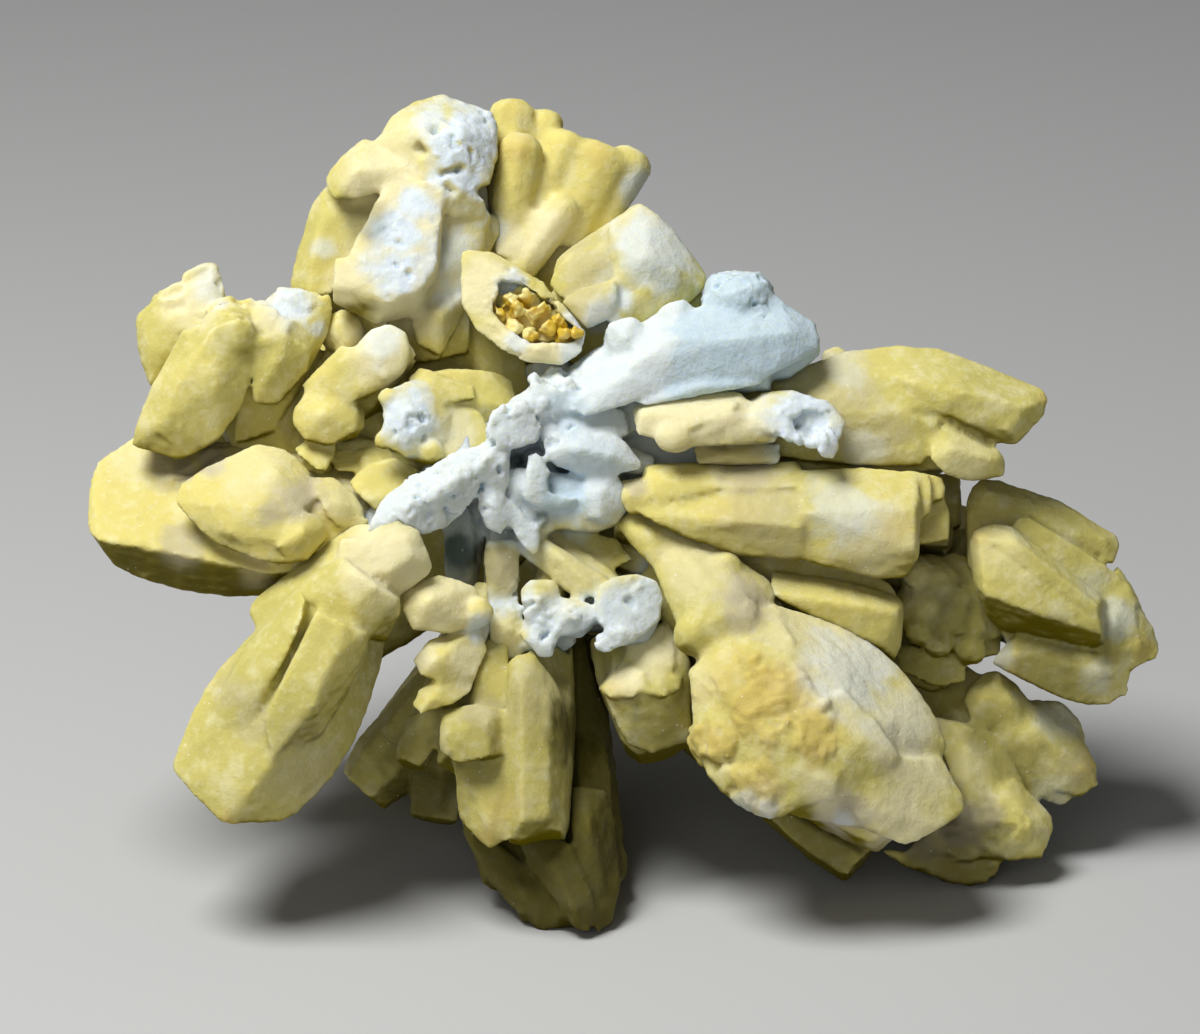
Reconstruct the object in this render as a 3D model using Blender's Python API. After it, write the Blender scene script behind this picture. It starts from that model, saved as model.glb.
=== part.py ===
"""Plumbogummite cluster: sprays of stepped hexagonal prisms round a blue-white broken stem.

Every crystal is laid out face-on, in millimetres, as (right, up, front), and the whole
cluster is then leaned back on to its feet, the worn tips of its lowest crystals. Crystals
that overlap are fused in one solid, one solid for each spray, and the sprays meet along
narrow seams.
"""

import math
import random

import bmesh
import bpy
from mathutils import Matrix, Vector

# Driving dimensions, in millimetres and degrees
leanBack = 20.0  # the cluster rests leaned back by this much
restHeight = -14.0  # where the ground cuts the leaned cluster, measured from the layout's middle
seam = 0.12  # clear width between two neighbouring sprays
hexSides = 6
unevenness = 0.07  # how far a prism's cross-section strays from a regular hexagon
ledgeSink = 0.42  # how deep a ledge sits in its prism, as a share of the ledge's own width
slimmest = 2.7  # a thinner prism has no belly
shortestEdge = 0.01  # a shorter edge, left where crystals cross, closes up
fewCrystals = 4  # a small spray keeps every triangle
trianglesKept = 0.82  # the slivers where crystals cross are the first to go
sliver = 0.005  # an edge or a face this narrow closes up
groundTolerance = 1e-7
flatEnough = 4.0  # neighbouring faces within this angle are one face

millimetre = 0.001
viewer = Vector((0, 0, 1))

colours = {
    "yellow_green": (0.56, 0.54, 0.20, 1),
    "blue_white": (0.68, 0.78, 0.80, 1),
    "ochre": (0.62, 0.42, 0.09, 1),
}


class Shape:
    """A crystal or a lump, as numbers: it is made at its own size or a little larger."""

    count = 0

    def __init__(self, **values):
        Shape.count += 1
        self.seed = Shape.count
        self.__dict__.update(values)


def prism(root, tip, width, depth=None, roll=0, ends=(0.7, 0.8), belly=None, shoulder=0.86,
          slant=(0, 0), hollow=None, side=None, sides=hexSides):
    """One hexagonal crystal. width is across the view and depth is along it, roll turns its
    edges about its axis, ends are its root's and tip's share of its width, slant tilts the
    end face, and hollow is (share of the width, depth, offset) of a hole in the end."""
    if belly is None:
        belly = 0.35 if width > slimmest else 0
    return Shape(kind="prism", root=Vector(root), tip=Vector(tip), width=width,
                 depth=depth or 0.85 * width, roll=roll, ends=ends, belly=belly,
                 shoulder=shoulder, slant=slant, hollow=hollow, side=side, sides=sides)


def lump(centre, radius, squash=(1, 1, 1), detail=1):
    """A rounded granular knob."""
    return Shape(kind="lump", centre=Vector(centre), radius=radius, squash=squash, detail=detail)


def ledges(parent, places):
    """Parallel sub-crystals that stand a little proud of a prism's faces. Each place is
    (angle round the axis, start, end, share of the width)."""
    axis = parent.tip - parent.root
    along, across, outward = axesOf(parent)
    found = []
    for angle, start, end, share in places:
        turn = math.radians(angle)
        reach = 0.5 - ledgeSink * share
        offset = across * math.cos(turn) * parent.width * reach
        offset += outward * math.sin(turn) * parent.depth * reach
        found.append(prism(parent.root + axis * start + offset, parent.root + axis * end + offset,
                           parent.width * share, parent.depth * share, parent.roll,
                           (0.9, 0.9), 0, 0.93, parent.slant, None, parent.side))
    return found


def axesOf(shape):
    along = (shape.tip - shape.root).normalized()
    if shape.side:
        across = Vector(shape.side)
        across -= along * across.dot(along)
    else:
        across = viewer.cross(along)
        if across.length < 0.15:
            across = Vector((1, 0, 0)) - along * along.x
    across.normalize()
    return along, across, along.cross(across)


def sectionOf(shape):
    """The uneven hexagon, as points that just reach half the width and half the depth."""
    dice = random.Random(shape.seed)
    points = []
    for corner in range(shape.sides):
        turn = math.radians(shape.roll) + 2 * math.pi * corner / shape.sides
        reach = 1 + dice.uniform(-unevenness, unevenness)
        points.append((reach * math.cos(turn), reach * math.sin(turn)))
    widest = max(abs(a) for a, _ in points)
    deepest = max(abs(b) for _, b in points)
    return [(a / widest * shape.width / 2, b / deepest * shape.depth / 2) for a, b in points]


def ringsOf(shape, grow):
    """(place along the axis, share of the section, push along the axis, swell, offset across
    it) of each ring."""
    centred = (0, 0)
    rings = [(0, shape.ends[0], -grow, grow, centred)]
    if shape.belly:
        rings.append((shape.belly, 1, 0, grow, centred))
    rings.append((shape.shoulder, 0.97, 0, grow, centred))
    rings.append((1, shape.ends[1], grow, grow, centred))
    if shape.hollow:
        share, sunk, offset = shape.hollow
        floor = 1 - sunk / (shape.tip - shape.root).length
        rings.append((1, shape.ends[1] * share, grow, -grow, offset))
        rings.append((floor, shape.ends[1] * share * 0.8, grow, -grow, offset))
    return rings


def addPrism(mesh, shape, grow):
    along, across, outward = axesOf(shape)
    length = (shape.tip - shape.root).length
    loops = []
    for place, size, push, swell, offset in ringsOf(shape, grow):
        loop = []
        middle = shape.root + along * (length * place + push)
        middle += across * offset[0] + outward * offset[1]
        for a, b in sectionOf(shape):
            reach = size + swell / math.hypot(a, b)
            slide = shape.slant[0] * a + shape.slant[1] * b if place > shape.belly else 0
            spot = middle + along * (slide * size) + (across * a + outward * b) * reach
            loop.append(mesh.verts.new(spot))
        loops.append(loop)
    for low, high in zip(loops, loops[1:]):
        for corner in range(shape.sides):
            after = (corner + 1) % shape.sides
            mesh.faces.new((low[corner], low[after], high[after], high[corner]))
    mesh.faces.new(loops[0][::-1])
    mesh.faces.new(loops[-1])


def addLump(mesh, shape, grow):
    dice = random.Random(shape.seed)
    made = bmesh.ops.create_icosphere(mesh, subdivisions=shape.detail, radius=1)
    for vert in made["verts"]:
        reach = shape.radius * (1 + dice.uniform(-0.14, 0.14)) + grow
        vert.co = shape.centre + Vector(c * reach * s for c, s in zip(vert.co, shape.squash))


def solidOf(shape, grow=0.0):
    """One closed shape as an object, in the layout's own frame."""
    mesh = bmesh.new()
    if shape.kind == "prism":
        addPrism(mesh, shape, grow)
    else:
        addLump(mesh, shape, grow)
    bmesh.ops.recalc_face_normals(mesh, faces=mesh.faces)
    bmesh.ops.transform(mesh, matrix=Matrix.Scale(millimetre, 4), verts=mesh.verts)
    data = bpy.data.meshes.new("crystal")
    mesh.to_mesh(data)
    mesh.free()
    return bpy.data.objects.new("crystal", data)


# The sprays, front and most visible first: a later spray is cut back where it meets an earlier one.

def stem():
    """The blue-white broken stem that every spray grows from."""
    found = [
        prism((-6.0, -0.4, -2.4), (5.4, 4.6, -2.4), 4.2, 4.6, 20, (0.7, 0.7)),
        prism((-1.8, 6.0, -3.0), (0.4, -4.2, -2.8), 4.0, 4.2, 10, (0.7, 0.7)),
        prism((-5.0, 2.0, 0.0), (-8.6, -0.9, 1.2), 2.0, 1.9, 30, (0.9, 0.75)),
        prism((-5.6, 1.2, 0.0), (-1.0, 4.9, 0.4), 2.4, 2.6, 12, (0.7, 0.85)),
        prism((-2.2, 4.0, 0.0), (3.6, 7.4, -0.2), 2.3, 2.8, 40, (0.8, 0.7)),
        prism((0.2, 5.3, 0.2), (8.2, 6.7, 0.1), 2.9, 2.5, 25, (0.7, 0.45), 0.55, 0.84),
        prism((4.6, 6.2, -1.2), (5.3, 8.7, 0.4), 2.6, 2.0, 0, (0.8, 0.92), hollow=(0.5, 0.5, (0, 0))),
        lump((1.0, 6.7, 0.6), 1.0),
        lump((2.9, 7.4, 0.4), 0.9),
        lump((-0.2, 5.2, 0.9), 0.75),
        lump((-5.2, 2.3, 1.0), 0.85),
        lump((-7.8, 0.2, 1.2), 0.85),
        prism((-3.4, 2.2, -0.6), (2.8, 4.6, -0.4), 2.4, 2.2, 10, (0.8, 0.8)),
        prism((1.0, 4.9, 0.6), (6.4, 5.1, 0.9), 1.0, 1.2, 15, (0.8, 0.9)),
        prism((2.0, 1.9, 0.0), (-2.5, 3.0, 0.6), 1.5, 1.6, 35, (0.5, 0.4), 0.45, 0.7),
        lump((-3.4, 3.4, 1.3), 1.0),
        lump((-1.1, 4.3, 1.2), 0.65),
        lump((-6.6, 0.9, 1.1), 0.7),
        prism((-3.5, 2.8, 0.7), (-3.3, -0.5, 0.9), 1.0, 1.2, 20, (0.9, 0.7)),
        prism((-2.2, 2.2, 0.4), (-1.0, -0.1, 0.9), 0.95, 1.1, 0, (0.9, 0.7)),
        prism((-1.9, 4.6, 1.0), (-2.6, 5.3, 1.6), 0.6, 0.6, 0, (0.9, 0.8)),
        prism((0.9, 0.9, -0.4), (-0.8, 0.1, 0.7), 1.5, 1.5, 20, (0.9, 0.8), slant=(0.2, 0)),
        prism((-4.6, 1.0, -1.2), (-5.3, -2.7, -0.4), 1.4, 1.5, 10, (0.9, 0.8)),
        prism((-3.7, 0.4, -0.4), (-3.9, -4.9, 0.8), 1.25, 1.4, 10, (0.9, 0.8)),
        prism((-3.1, -0.4, 0.0), (0.5, -2.9, 1.0), 1.6, 1.6, 30, (0.9, 0.8)),
        prism((-1.6, -0.4, -1.4), (2.0, -1.9, -0.9), 1.7, 1.8, 10, (0.9, 0.8)),
        prism((-1.6, -1.6, -0.8), (-2.1, -3.4, 1.7), 1.5, 1.4, 0, (0.9, 0.8)),
        lump((-2.2, -3.3, 1.6), 0.8, (0.9, 1.2, 1)),
        lump((-2.3, -4.4, 1.4), 0.8),
        lump((-1.0, -3.8, 1.5), 0.95),
        prism((0.6, -3.2, -1.4), (1.05, -3.6, 2.3), 2.6, 2.8, 12, (0.7, 0.95),
              hollow=(0.5, 1.2, (0, 0))),
        prism((-0.6, -2.6, -1.6), (-1.6, -4.6, 0.9), 1.6, 1.6, 0, (0.9, 0.9)),
    ]
    return found


def lowerLeftPrism():
    """The big stepped prism that points down to the left, with the pale end of its root."""
    body = prism((-8.1, -1.6, -0.4), (-13.8, -10.1, 4.2), 6.1, 5.2, 18, (0.75, 0.8), 0.4, 0.86)
    found = [
        body,
        prism((-8.9, -0.5, 0.0), (-13.4, -4.2, 2.6), 2.0, 2.4, 20, (0.8, 0.85)),
        prism((-7.3, -1.0, 0.4), (-9.3, -4.6, 2.6), 3.0, 2.6, 30, (0.85, 0.9)),
        prism((-9.2, -1.5, 1.2), (-11.6, -5.2, 3.6), 2.4, 2.0, 0, (0.8, 0.7)),
        prism((-8.0, -3.0, -1.0), (-7.5, -1.5, 1.9), 2.6, 2.2, 0, (0.9, 0.92)),
    ]
    return found + ledges(body, [(55, 0.2, 0.84, 0.6), (125, 0.3, 0.95, 0.62)])


def leftPrism():
    """The thick prism that points left, and the smaller budding crystal that lies on it."""
    body = prism((-8.2, -0.3, -1.6), (-19.0, 0.5, 0.2), 5.3, 5.2, 52, (0.7, 0.68), 0.5, 0.88,
                 (-0.1, 0))
    bud = prism((-8.5, -0.1, 0.8), (-15.7, 1.0, 3.0), 3.5, 2.6, 30, (0.6, 0.5), 0.5, 0.8)
    found = [
        body,
        bud,
        prism((-9.6, -0.3, 1.3), (-11.5, -1.6, 2.3), 1.5, 1.3, 0, (0.8, 0.7)),
        prism((-8.2, 0.7, 0.8), (-11.3, 1.4, 2.4), 2.0, 1.6, 20, (0.8, 0.7)),
        prism((-11.4, -0.4, 1.2), (-14.8, -0.6, 2.3), 1.7, 1.2, 10, (0.7, 0.6)),
        prism((-11.6, 1.0, 1.6), (-14.2, 1.9, 2.7), 1.5, 1.2, 10, (0.8, 0.7)),
    ]
    return found + ledges(body, [(105, 0.45, 0.97, 0.6), (20, 0.35, 0.88, 0.6),
                                 (200, 0.3, 0.9, 0.6)])


def upperLeftBundle():
    """Three upright prisms with broken sugary tops, above the left prism."""
    left = prism((-16.6, 4.3, -1.2), (-15.6, 8.7, -1.2), 3.2, 3.2, 20, (0.7, 0.9), 0.4, 0.9,
                 (0.25, 0))
    middle = prism((-15.7, 2.9, 0.2), (-14.1, 7.7, 0.9), 3.7, 3.6, 12, (0.72, 0.55), 0.4, 0.74)
    right = prism((-12.7, 3.0, -0.9), (-11.2, 8.4, -0.4), 3.4, 3.6, 30, (0.6, 0.9), 0.45, 0.9)
    found = [
        left,
        middle,
        right,
        prism((-14.4, 3.2, -0.9), (-13.4, 8.6, -0.6), 2.8, 3.2, 0, (0.7, 0.8)),
        prism((-6.2, 2.0, -3.4), (-13.2, 5.6, -2.2), 3.6, 3.6, 10, (0.8, 0.8)),
        prism((-15.3, 7.6, -1.4), (-14.5, 9.6, -1.0), 1.5, 1.4, 0, (0.9, 0.7)),
        prism((-12.4, 7.2, -0.6), (-12.2, 8.9, -0.2), 1.3, 1.4, 0, (0.9, 0.8)),
        prism((-10.7, 6.8, -0.9), (-10.5, 8.4, -0.4), 1.0, 1.3, 0, (0.9, 0.8)),
    ]
    return found + ledges(right, [(70, 0.2, 0.8, 0.6)])


def bottomCentre():
    """The blocky prisms that hang down below the middle."""
    main = prism((-2.0, -4.8, -0.2), (-2.4, -11.9, 3.3), 2.6, 3.2, 35, (0.8, 0.85), 0.35, 0.9)
    found = [
        main,
        prism((-3.3, -5.0, 0.0), (-4.2, -11.6, 2.6), 2.6, 3.0, 10, (0.8, 0.85)),
        prism((-3.9, -5.0, 0.4), (-4.8, -9.3, 3.0), 2.8, 2.4, 20, (0.8, 0.95)),
        prism((-2.2, -4.8, 1.0), (-2.7, -7.4, 2.8), 1.8, 1.6, 0, (0.8, 0.9)),
        prism((-5.2, -4.4, -0.4), (-7.1, -9.3, 1.2), 1.5, 1.9, 0, (0.8, 0.85)),
        prism((-3.2, -3.9, -2.2), (-9.0, -10.4, -2.4), 3.0, 3.2, 10, (0.8, 0.75)),
        prism((-4.9, -3.4, -2.8), (-6.3, -11.5, -1.6), 2.2, 2.6, 25, (0.8, 0.8)),
    ]
    return found + ledges(main, [(50, 0.25, 0.9, 0.6)])


def perchedCrystal():
    """The knobbed little crystal in front of the middle, like a perched bird."""
    return [
        prism((-4.2, -2.6, 0.6), (-7.2, -3.0, 2.3), 2.2, 2.0, 20, (0.8, 0.75)),
        prism((-4.8, -2.6, 1.2), (-5.9, -6.9, 2.4), 2.0, 1.8, 0, (0.9, 0.8)),
        prism((-4.7, -4.2, 1.2), (-7.0, -5.7, 2.7), 1.3, 1.2, 20, (0.8, 0.7)),
        prism((-4.9, -5.6, 1.4), (-7.0, -7.3, 2.7), 1.2, 1.1, 20, (0.8, 0.7)),
        lump((-6.5, -3.1, 2.2), 1.05, (1, 0.9, 1)),
        lump((-4.7, -4.1, 1.8), 0.85, (0.8, 1.4, 1)),
    ]


def barrel():
    """The largest crystal, a rough ochre-faced barrel that points down to the right."""
    body = prism((3.4, -3.8, -0.8), (12.8, -11.8, 3.4), 7.8, 7.0, 12, (0.46, 0.36), 0.46, 0.8,
                 sides=8)
    found = [
        body,
        prism((1.6, -0.8, -0.8), (6.4, -6.0, 1.8), 3.0, 3.4, 10, (0.7, 0.95), 0.5, 0.9),
        prism((8.6, -9.6, 1.2), (12.4, -12.4, 3.0), 2.6, 3.0, 20, (0.8, 0.6)),
        prism((4.0, -5.6, 1.0), (7.2, -10.2, 3.9), 2.8, 2.4, 10, (0.7, 0.6)),
        prism((5.4, -5.0, 1.8), (9.6, -9.4, 4.6), 2.6, 2.2, 25, (0.7, 0.6)),
        prism((6.2, -3.4, -0.4), (11.8, -8.2, 1.6), 3.0, 3.2, 0, (0.7, 0.8)),
    ]
    return found


def underBarrel():
    """The block and the long dark prisms below the barrel."""
    return [
        prism((1.3, -4.2, -1.8), (1.9, -7.4, 1.6), 3.2, 3.0, 10, (0.8, 0.8)),
        prism((0.7, -4.4, -1.8), (2.4, -8.8, 0.2), 2.8, 3.0, 30, (0.8, 0.7)),
        prism((1.2, -5.4, -2.2), (9.9, -12.9, -0.6), 2.8, 3.4, 20, (0.7, 0.75)),
        prism((2.2, -4.4, -3.0), (9.8, -11.6, -3.4), 3.0, 3.0, 0, (0.7, 0.75)),
    ]


def bottomBundle():
    """The dark bundle that reaches down to the front foot."""
    return [
        prism((-1.4, -6.6, -2.4), (-0.6, -15.2, 2.1), 3.2, 3.4, 15, (0.8, 0.72)),
        prism((-2.6, -6.6, -2.6), (-2.0, -15.0, 1.7), 3.0, 3.2, 30, (0.8, 0.66)),
        prism((-2.9, -6.8, -2.2), (-3.6, -13.8, 1.0), 2.6, 2.8, 10, (0.8, 0.6)),
        prism((-0.6, -6.0, -3.0), (0.2, -13.0, -0.2), 2.0, 2.6, 0, (0.8, 0.8)),
        prism((-1.4, -3.4, -3.0), (-1.2, -9.0, -1.2), 3.4, 3.2, 10, (0.8, 0.8)),
    ]


def middleRightPrism():
    """The long stepped prism that points right, and the shorter one below it."""
    body = prism((0.7, 0.2, -0.8), (11.9, -0.3, 0.9), 3.6, 3.6, 35, (0.75, 0.86), 0.4, 0.94)
    found = [
        body,
        prism((1.5, 1.3, -0.2), (7.5, 1.45, 0.8), 1.1, 1.8, 10, (0.7, 0.9)),
        prism((6.0, 0.9, -1.2), (12.9, 0.4, -0.4), 2.3, 2.6, 10, (0.8, 0.85)),
        prism((7.6, 0.1, 0.3), (11.7, -0.8, 1.2), 2.6, 2.0, 20, (0.9, 0.85)),
        prism((2.2, -0.2, -1.6), (5.6, -3.4, -1.2), 2.0, 2.0, 10, (0.8, 0.7)),
        prism((4.2, -1.4, -1.4), (11.4, -4.1, 0.2), 2.9, 3.2, 30, (0.8, 0.84)),
    ]
    return found + ledges(body, [(70, 0.15, 0.66, 0.66)])


def creamPrism():
    """The cream prism above it, with a hollow blue end."""
    return [
        prism((0.9, 3.3, 0.3), (6.5, 3.6, 1.5), 2.3, 2.1, 20, (0.8, 0.9)),
        prism((1.3, 4.2, 0.2), (5.8, 4.5, 1.2), 1.0, 1.6, 0, (0.8, 0.9)),
        prism((6.4, 3.7, -1.0), (7.9, 3.5, 1.9), 2.7, 2.1, 10, (0.8, 0.95),
              hollow=(0.6, 1.0, (0, 0)), side=(1, -0.25, -0.5)),
        prism((8.5, 3.4, 1.0), (8.7, 2.2, 1.9), 0.9, 0.9, 0, (0.8, 0.85)),
        prism((1.9, 2.4, 0.0), (6.8, 2.4, 1.0), 0.95, 1.2, 10, (0.8, 0.9)),
    ]


def whiteEndPrism():
    """The short yellow prism left of the stem, with a white hollow hexagonal end."""
    return [
        prism((-3.9, 4.0, -1.6), (-7.1, 3.65, 1.4), 2.6, 2.6, 0, (0.8, 0.95), hollow=(0.55, 0.8, (0, 0))),
        prism((-3.8, 5.1, -1.8), (-7.3, 5.0, 0.2), 1.5, 1.6, 10, (0.8, 0.85)),
        prism((-3.6, 3.9, -0.8), (-5.4, 3.3, 1.1), 1.5, 1.6, 0, (0.8, 0.8)),
    ]


def leftCentreBuds():
    """The small knobbed prisms between the left prism and the upper left bundle."""
    return [
        prism((-10.9, 2.9, -2.4), (-7.6, 6.2, 0.1), 2.3, 2.2, 20, (0.9, 0.9)),
        lump((-7.9, 6.1, 0.2), 1.05),
        lump((-10.3, 3.9, -0.1), 1.15),
        prism((-9.9, 3.6, -1.2), (-10.8, 1.5, 0.0), 1.2, 1.2, 0, (0.8, 0.8)),
        prism((-5.6, 1.6, -1.8), (-9.1, 2.0, 0.2), 1.4, 1.4, 0, (0.8, 0.8)),
        prism((-5.9, 1.0, -1.2), (-9.3, 0.8, 0.4), 1.5, 1.5, 30, (0.8, 0.8)),
        prism((-5.4, 1.2, -3.0), (-10.2, 3.0, -1.6), 2.0, 2.2, 30, (0.8, 0.8)),
        prism((-5.8, 2.6, -2.6), (-10.8, 5.8, -1.8), 1.8, 2.2, 30, (0.8, 0.8)),
    ]


def hollowPod():
    """The split hollow crystal at the top of the middle."""
    shell = prism((-2.0, 7.2, -5.0), (-2.9, 7.9, 0.4), 5.9, 3.1, 12, (0.4, 0.96), 0.7, 0.9,
                  (0.05, 0), (0.62, 2.0, (0.55, 0.1)), (1, -0.85, 0), 10)
    return [
        shell,
        prism((-4.4, 6.4, -3.0), (-5.2, 9.7, -0.6), 1.2, 1.4, 0, (0.8, 0.7)),
    ]


def podLining():
    """Amber crystals that line the pod's hollow."""
    crust = prism((-2.5, 7.6, -1.45), (-2.6, 7.7, -1.1), 3.4, 1.5, 12, (0.95, 0.9), 0, 0.9,
                  side=(1, -0.8, 0), sides=8)
    grains = [(-3.5, 8.5, 0.42), (-2.9, 8.05, 0.46), (-2.3, 7.5, 0.44), (-1.8, 7.0, 0.38)]
    return [crust] + [lump((right, up, -1.0), radius) for right, up, radius in grains]


def curvedCluster():
    """The rounded grey-yellow crystals right of the pod."""
    return [
        prism((-1.2, 6.6, -2.8), (1.2, 11.4, -2.2), 3.4, 2.8, 10, (0.8, 0.7)),
        prism((0.6, 6.6, -2.4), (3.9, 9.4, -1.8), 3.2, 2.8, 30, (0.8, 0.66)),
        prism((0.0, 6.8, -2.6), (2.6, 10.9, -2.1), 2.8, 2.8, 0, (0.8, 0.7)),
        prism((-1.2, 7.6, -1.8), (0.7, 9.7, -0.6), 1.9, 1.6, 20, (0.8, 0.7)),
        prism((-1.0, 6.4, -1.4), (0.9, 8.4, -0.2), 1.6, 1.4, 0, (0.8, 0.7)),
    ]


def topLeftSpray():
    """The tall spray at the top left, with white pitted broken ends."""
    shell = prism((-10.4, 7.4, -4.0), (-8.9, 14.0, -3.4), 3.2, 3.6, 10, (0.85, 0.8))
    crown = prism((-5.4, 8.4, -4.6), (-6.1, 15.6, -3.4), 4.2, 3.8, 20, (0.8, 0.66), 0.5, 0.82)
    return [
        shell,
        crown,
        prism((-8.6, 9.4, -4.6), (-7.6, 15.0, -3.8), 2.6, 2.8, 10, (0.8, 0.8)),
        prism((-7.6, 5.6, -3.2), (-8.0, 9.2, -0.2), 3.8, 3.0, 8, (0.75, 0.95)),
        prism((-6.9, 8.4, -3.2), (-7.1, 12.1, -1.2), 2.4, 2.4, 0, (0.8, 0.95)),
        prism((-7.4, 7.0, -3.0), (-7.2, 10.8, -0.7), 2.6, 2.2, 10, (0.8, 0.95)),
        prism((-5.0, 12.4, -3.0), (-6.0, 6.6, -1.2), 2.1, 2.4, 20, (0.8, 0.85)),
        prism((-5.3, 9.4, -2.4), (-6.2, 5.9, -0.8), 1.7, 1.8, 0, (0.8, 0.9)),
        prism((-4.2, 7.4, -4.2), (-4.6, 13.6, -3.2), 2.0, 2.8, 10, (0.8, 0.9)),
        prism((-7.6, 4.6, -4.2), (-10.9, 9.0, -3.6), 2.2, 3.0, 20, (0.8, 0.8)),
        prism((-3.2, 3.2, -4.2), (-6.4, 9.6, -3.8), 3.4, 3.2, 20, (0.8, 0.8), 0),
        lump((-6.5, 15.2, -3.0), 0.9),
        lump((-4.4, 14.3, -3.0), 1.0),
    ]


def topRightFingers():
    """The yellow finger-like prisms behind the pod."""
    places = [((-3.1, 15.6), 2.4), ((-1.9, 15.2), 1.6), ((-0.9, 14.4), 1.6), ((0.3, 14.0), 2.2),
              ((1.6, 13.2), 2.4)]
    found = []
    for (right, up), width in places:
        root = (-2.4 + 0.3 * right, 5.2 + 0.2 * up, -4.6)
        found.append(prism(root, (right, up, -4.8), width, 2.2, 15, (0.7, 0.7), shoulder=0.9))
    return found + [
        prism((-2.2, 7.4, -4.2), (0.3, 12.0, -4.0), 1.8, 2.2, 20, (0.8, 0.85)),
        prism((-1.2, 7.4, -4.4), (1.8, 12.4, -4.4), 1.9, 2.2, 10, (0.8, 0.85)),
        prism((-0.6, 4.0, -5.4), (-1.2, 12.0, -6.0), 3.4, 2.6, 10, (0.8, 0.7)),
    ]


def upperRightPrism():
    """The tapered prism that points right from behind the stem."""
    body = prism((4.4, 3.9, -1.4), (16.8, 4.2, -0.8), 4.0, 3.8, 30, (0.6, 0.46), 0.45, 0.88)
    return [
        body,
        prism((6.2, 4.9, -1.6), (13.4, 5.5, -1.2), 2.2, 2.8, 10, (0.7, 0.7)),
        prism((6.6, 2.6, -1.4), (15.0, 2.0, -0.6), 1.9, 2.4, 20, (0.8, 0.85)),
        prism((8.6, 2.6, -0.8), (13.4, 1.6, -0.2), 1.4, 1.6, 10, (0.8, 0.7)),
        prism((5.2, 2.9, -0.8), (11.4, 3.6, 0.4), 2.4, 2.2, 0, (0.8, 0.6)),
        prism((8.2, 5.0, -1.6), (8.7, 6.4, -1.2), 1.0, 1.0, 0, (0.8, 0.7)),
    ]


def innerRight():
    """The dark lumpy prisms deep between the right-hand prisms."""
    return [
        prism((3.4, -0.6, -5.2), (15.0, -3.8, -5.0), 3.0, 3.4, 10, (0.8, 0.75)),
        prism((4.0, 0.6, -5.0), (13.8, 0.6, -4.2), 2.6, 3.2, 20, (0.8, 0.8)),
        prism((6.4, -2.8, -4.4), (13.6, -6.0, -3.6), 2.4, 2.6, 30, (0.8, 0.75)),
        prism((9.0, -1.6, -4.4), (14.2, -3.0, -3.0), 1.6, 1.8, 0, (0.8, 0.7)),
        prism((9.0, -0.2, -4.4), (13.4, -0.9, -3.0), 1.4, 1.8, 0, (0.8, 0.7)),
    ]


def rightFarBundle():
    """The broken bundle at the far right."""
    front = prism((14.2, -1.9, -3.8), (20.8, -4.9, -4.4), 3.4, 3.2, 25, (0.92, 0.66), 0.5, 0.84)
    return [
        front,
        prism((13.5, 0.9, -5.6), (19.5, -1.4, -5.6), 2.4, 3.0, 20, (0.9, 0.8)),
        prism((14.6, -0.3, -4.6), (20.3, -3.1, -5.0), 2.2, 3.0, 10, (0.9, 0.8)),
        prism((14.9, -4.4, -4.6), (20.2, -6.4, -4.8), 2.2, 2.6, 20, (0.9, 0.7)),
        prism((14.8, -3.1, -4.2), (20.5, -5.8, -4.4), 2.4, 2.8, 0, (0.9, 0.7)),
        prism((7.0, -0.8, -6.8), (15.6, -2.2, -6.4), 3.4, 3.0, 10, (0.8, 0.8)),
    ]


def rightLowerBundle():
    """The two stubby bundles at the lower right; the lower one is the right foot."""
    return [
        prism((12.8, -5.6, -4.8), (18.2, -10.1, -4.2), 3.0, 3.0, 20, (0.9, 0.72)),
        prism((13.2, -5.7, -4.4), (15.6, -7.9, -3.0), 2.0, 2.0, 0, (0.9, 0.9)),
        prism((15.6, -7.2, -4.4), (18.4, -9.2, -3.6), 1.6, 1.8, 0, (0.9, 0.8)),
        prism((11.6, -7.2, -4.6), (16.2, -12.2, -2.6), 3.2, 3.0, 20, (0.8, 0.66)),
        prism((12.3, -7.3, -3.4), (14.3, -10.6, -1.8), 2.8, 2.0, 0, (0.9, 0.9)),
        prism((10.8, -8.6, -5.2), (13.9, -13.6, -2.7), 2.6, 2.8, 0, (0.8, 0.7)),
        prism((13.4, -10.4, -3.8), (16.6, -12.9, -2.8), 1.6, 1.6, 0, (0.9, 0.8)),
        prism((5.0, -4.6, -6.0), (13.4, -8.6, -4.8), 3.0, 2.8, 10, (0.8, 0.8)),
    ]


def backUpper():
    """The prisms that fan up and back."""
    return [
        prism((-1.6, 2.0, -5.6), (-6.6, 12.3, -8.4), 3.6, 3.4, 20, (0.7, 0.75)),
        prism((-1.0, 2.0, -6.0), (-1.8, 12.6, -9.6), 3.4, 3.4, 10, (0.7, 0.75)),
        prism((-0.6, 2.0, -6.0), (2.2, 10.2, -10.2), 3.4, 3.2, 25, (0.7, 0.7)),
        prism((-1.4, 2.2, -6.4), (-4.6, 9.0, -13.2), 3.6, 3.4, 10, (0.7, 0.75)),
        prism((-0.4, 1.6, -6.2), (5.4, 6.8, -11.4), 3.2, 3.4, 15, (0.7, 0.75)),
    ]


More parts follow.
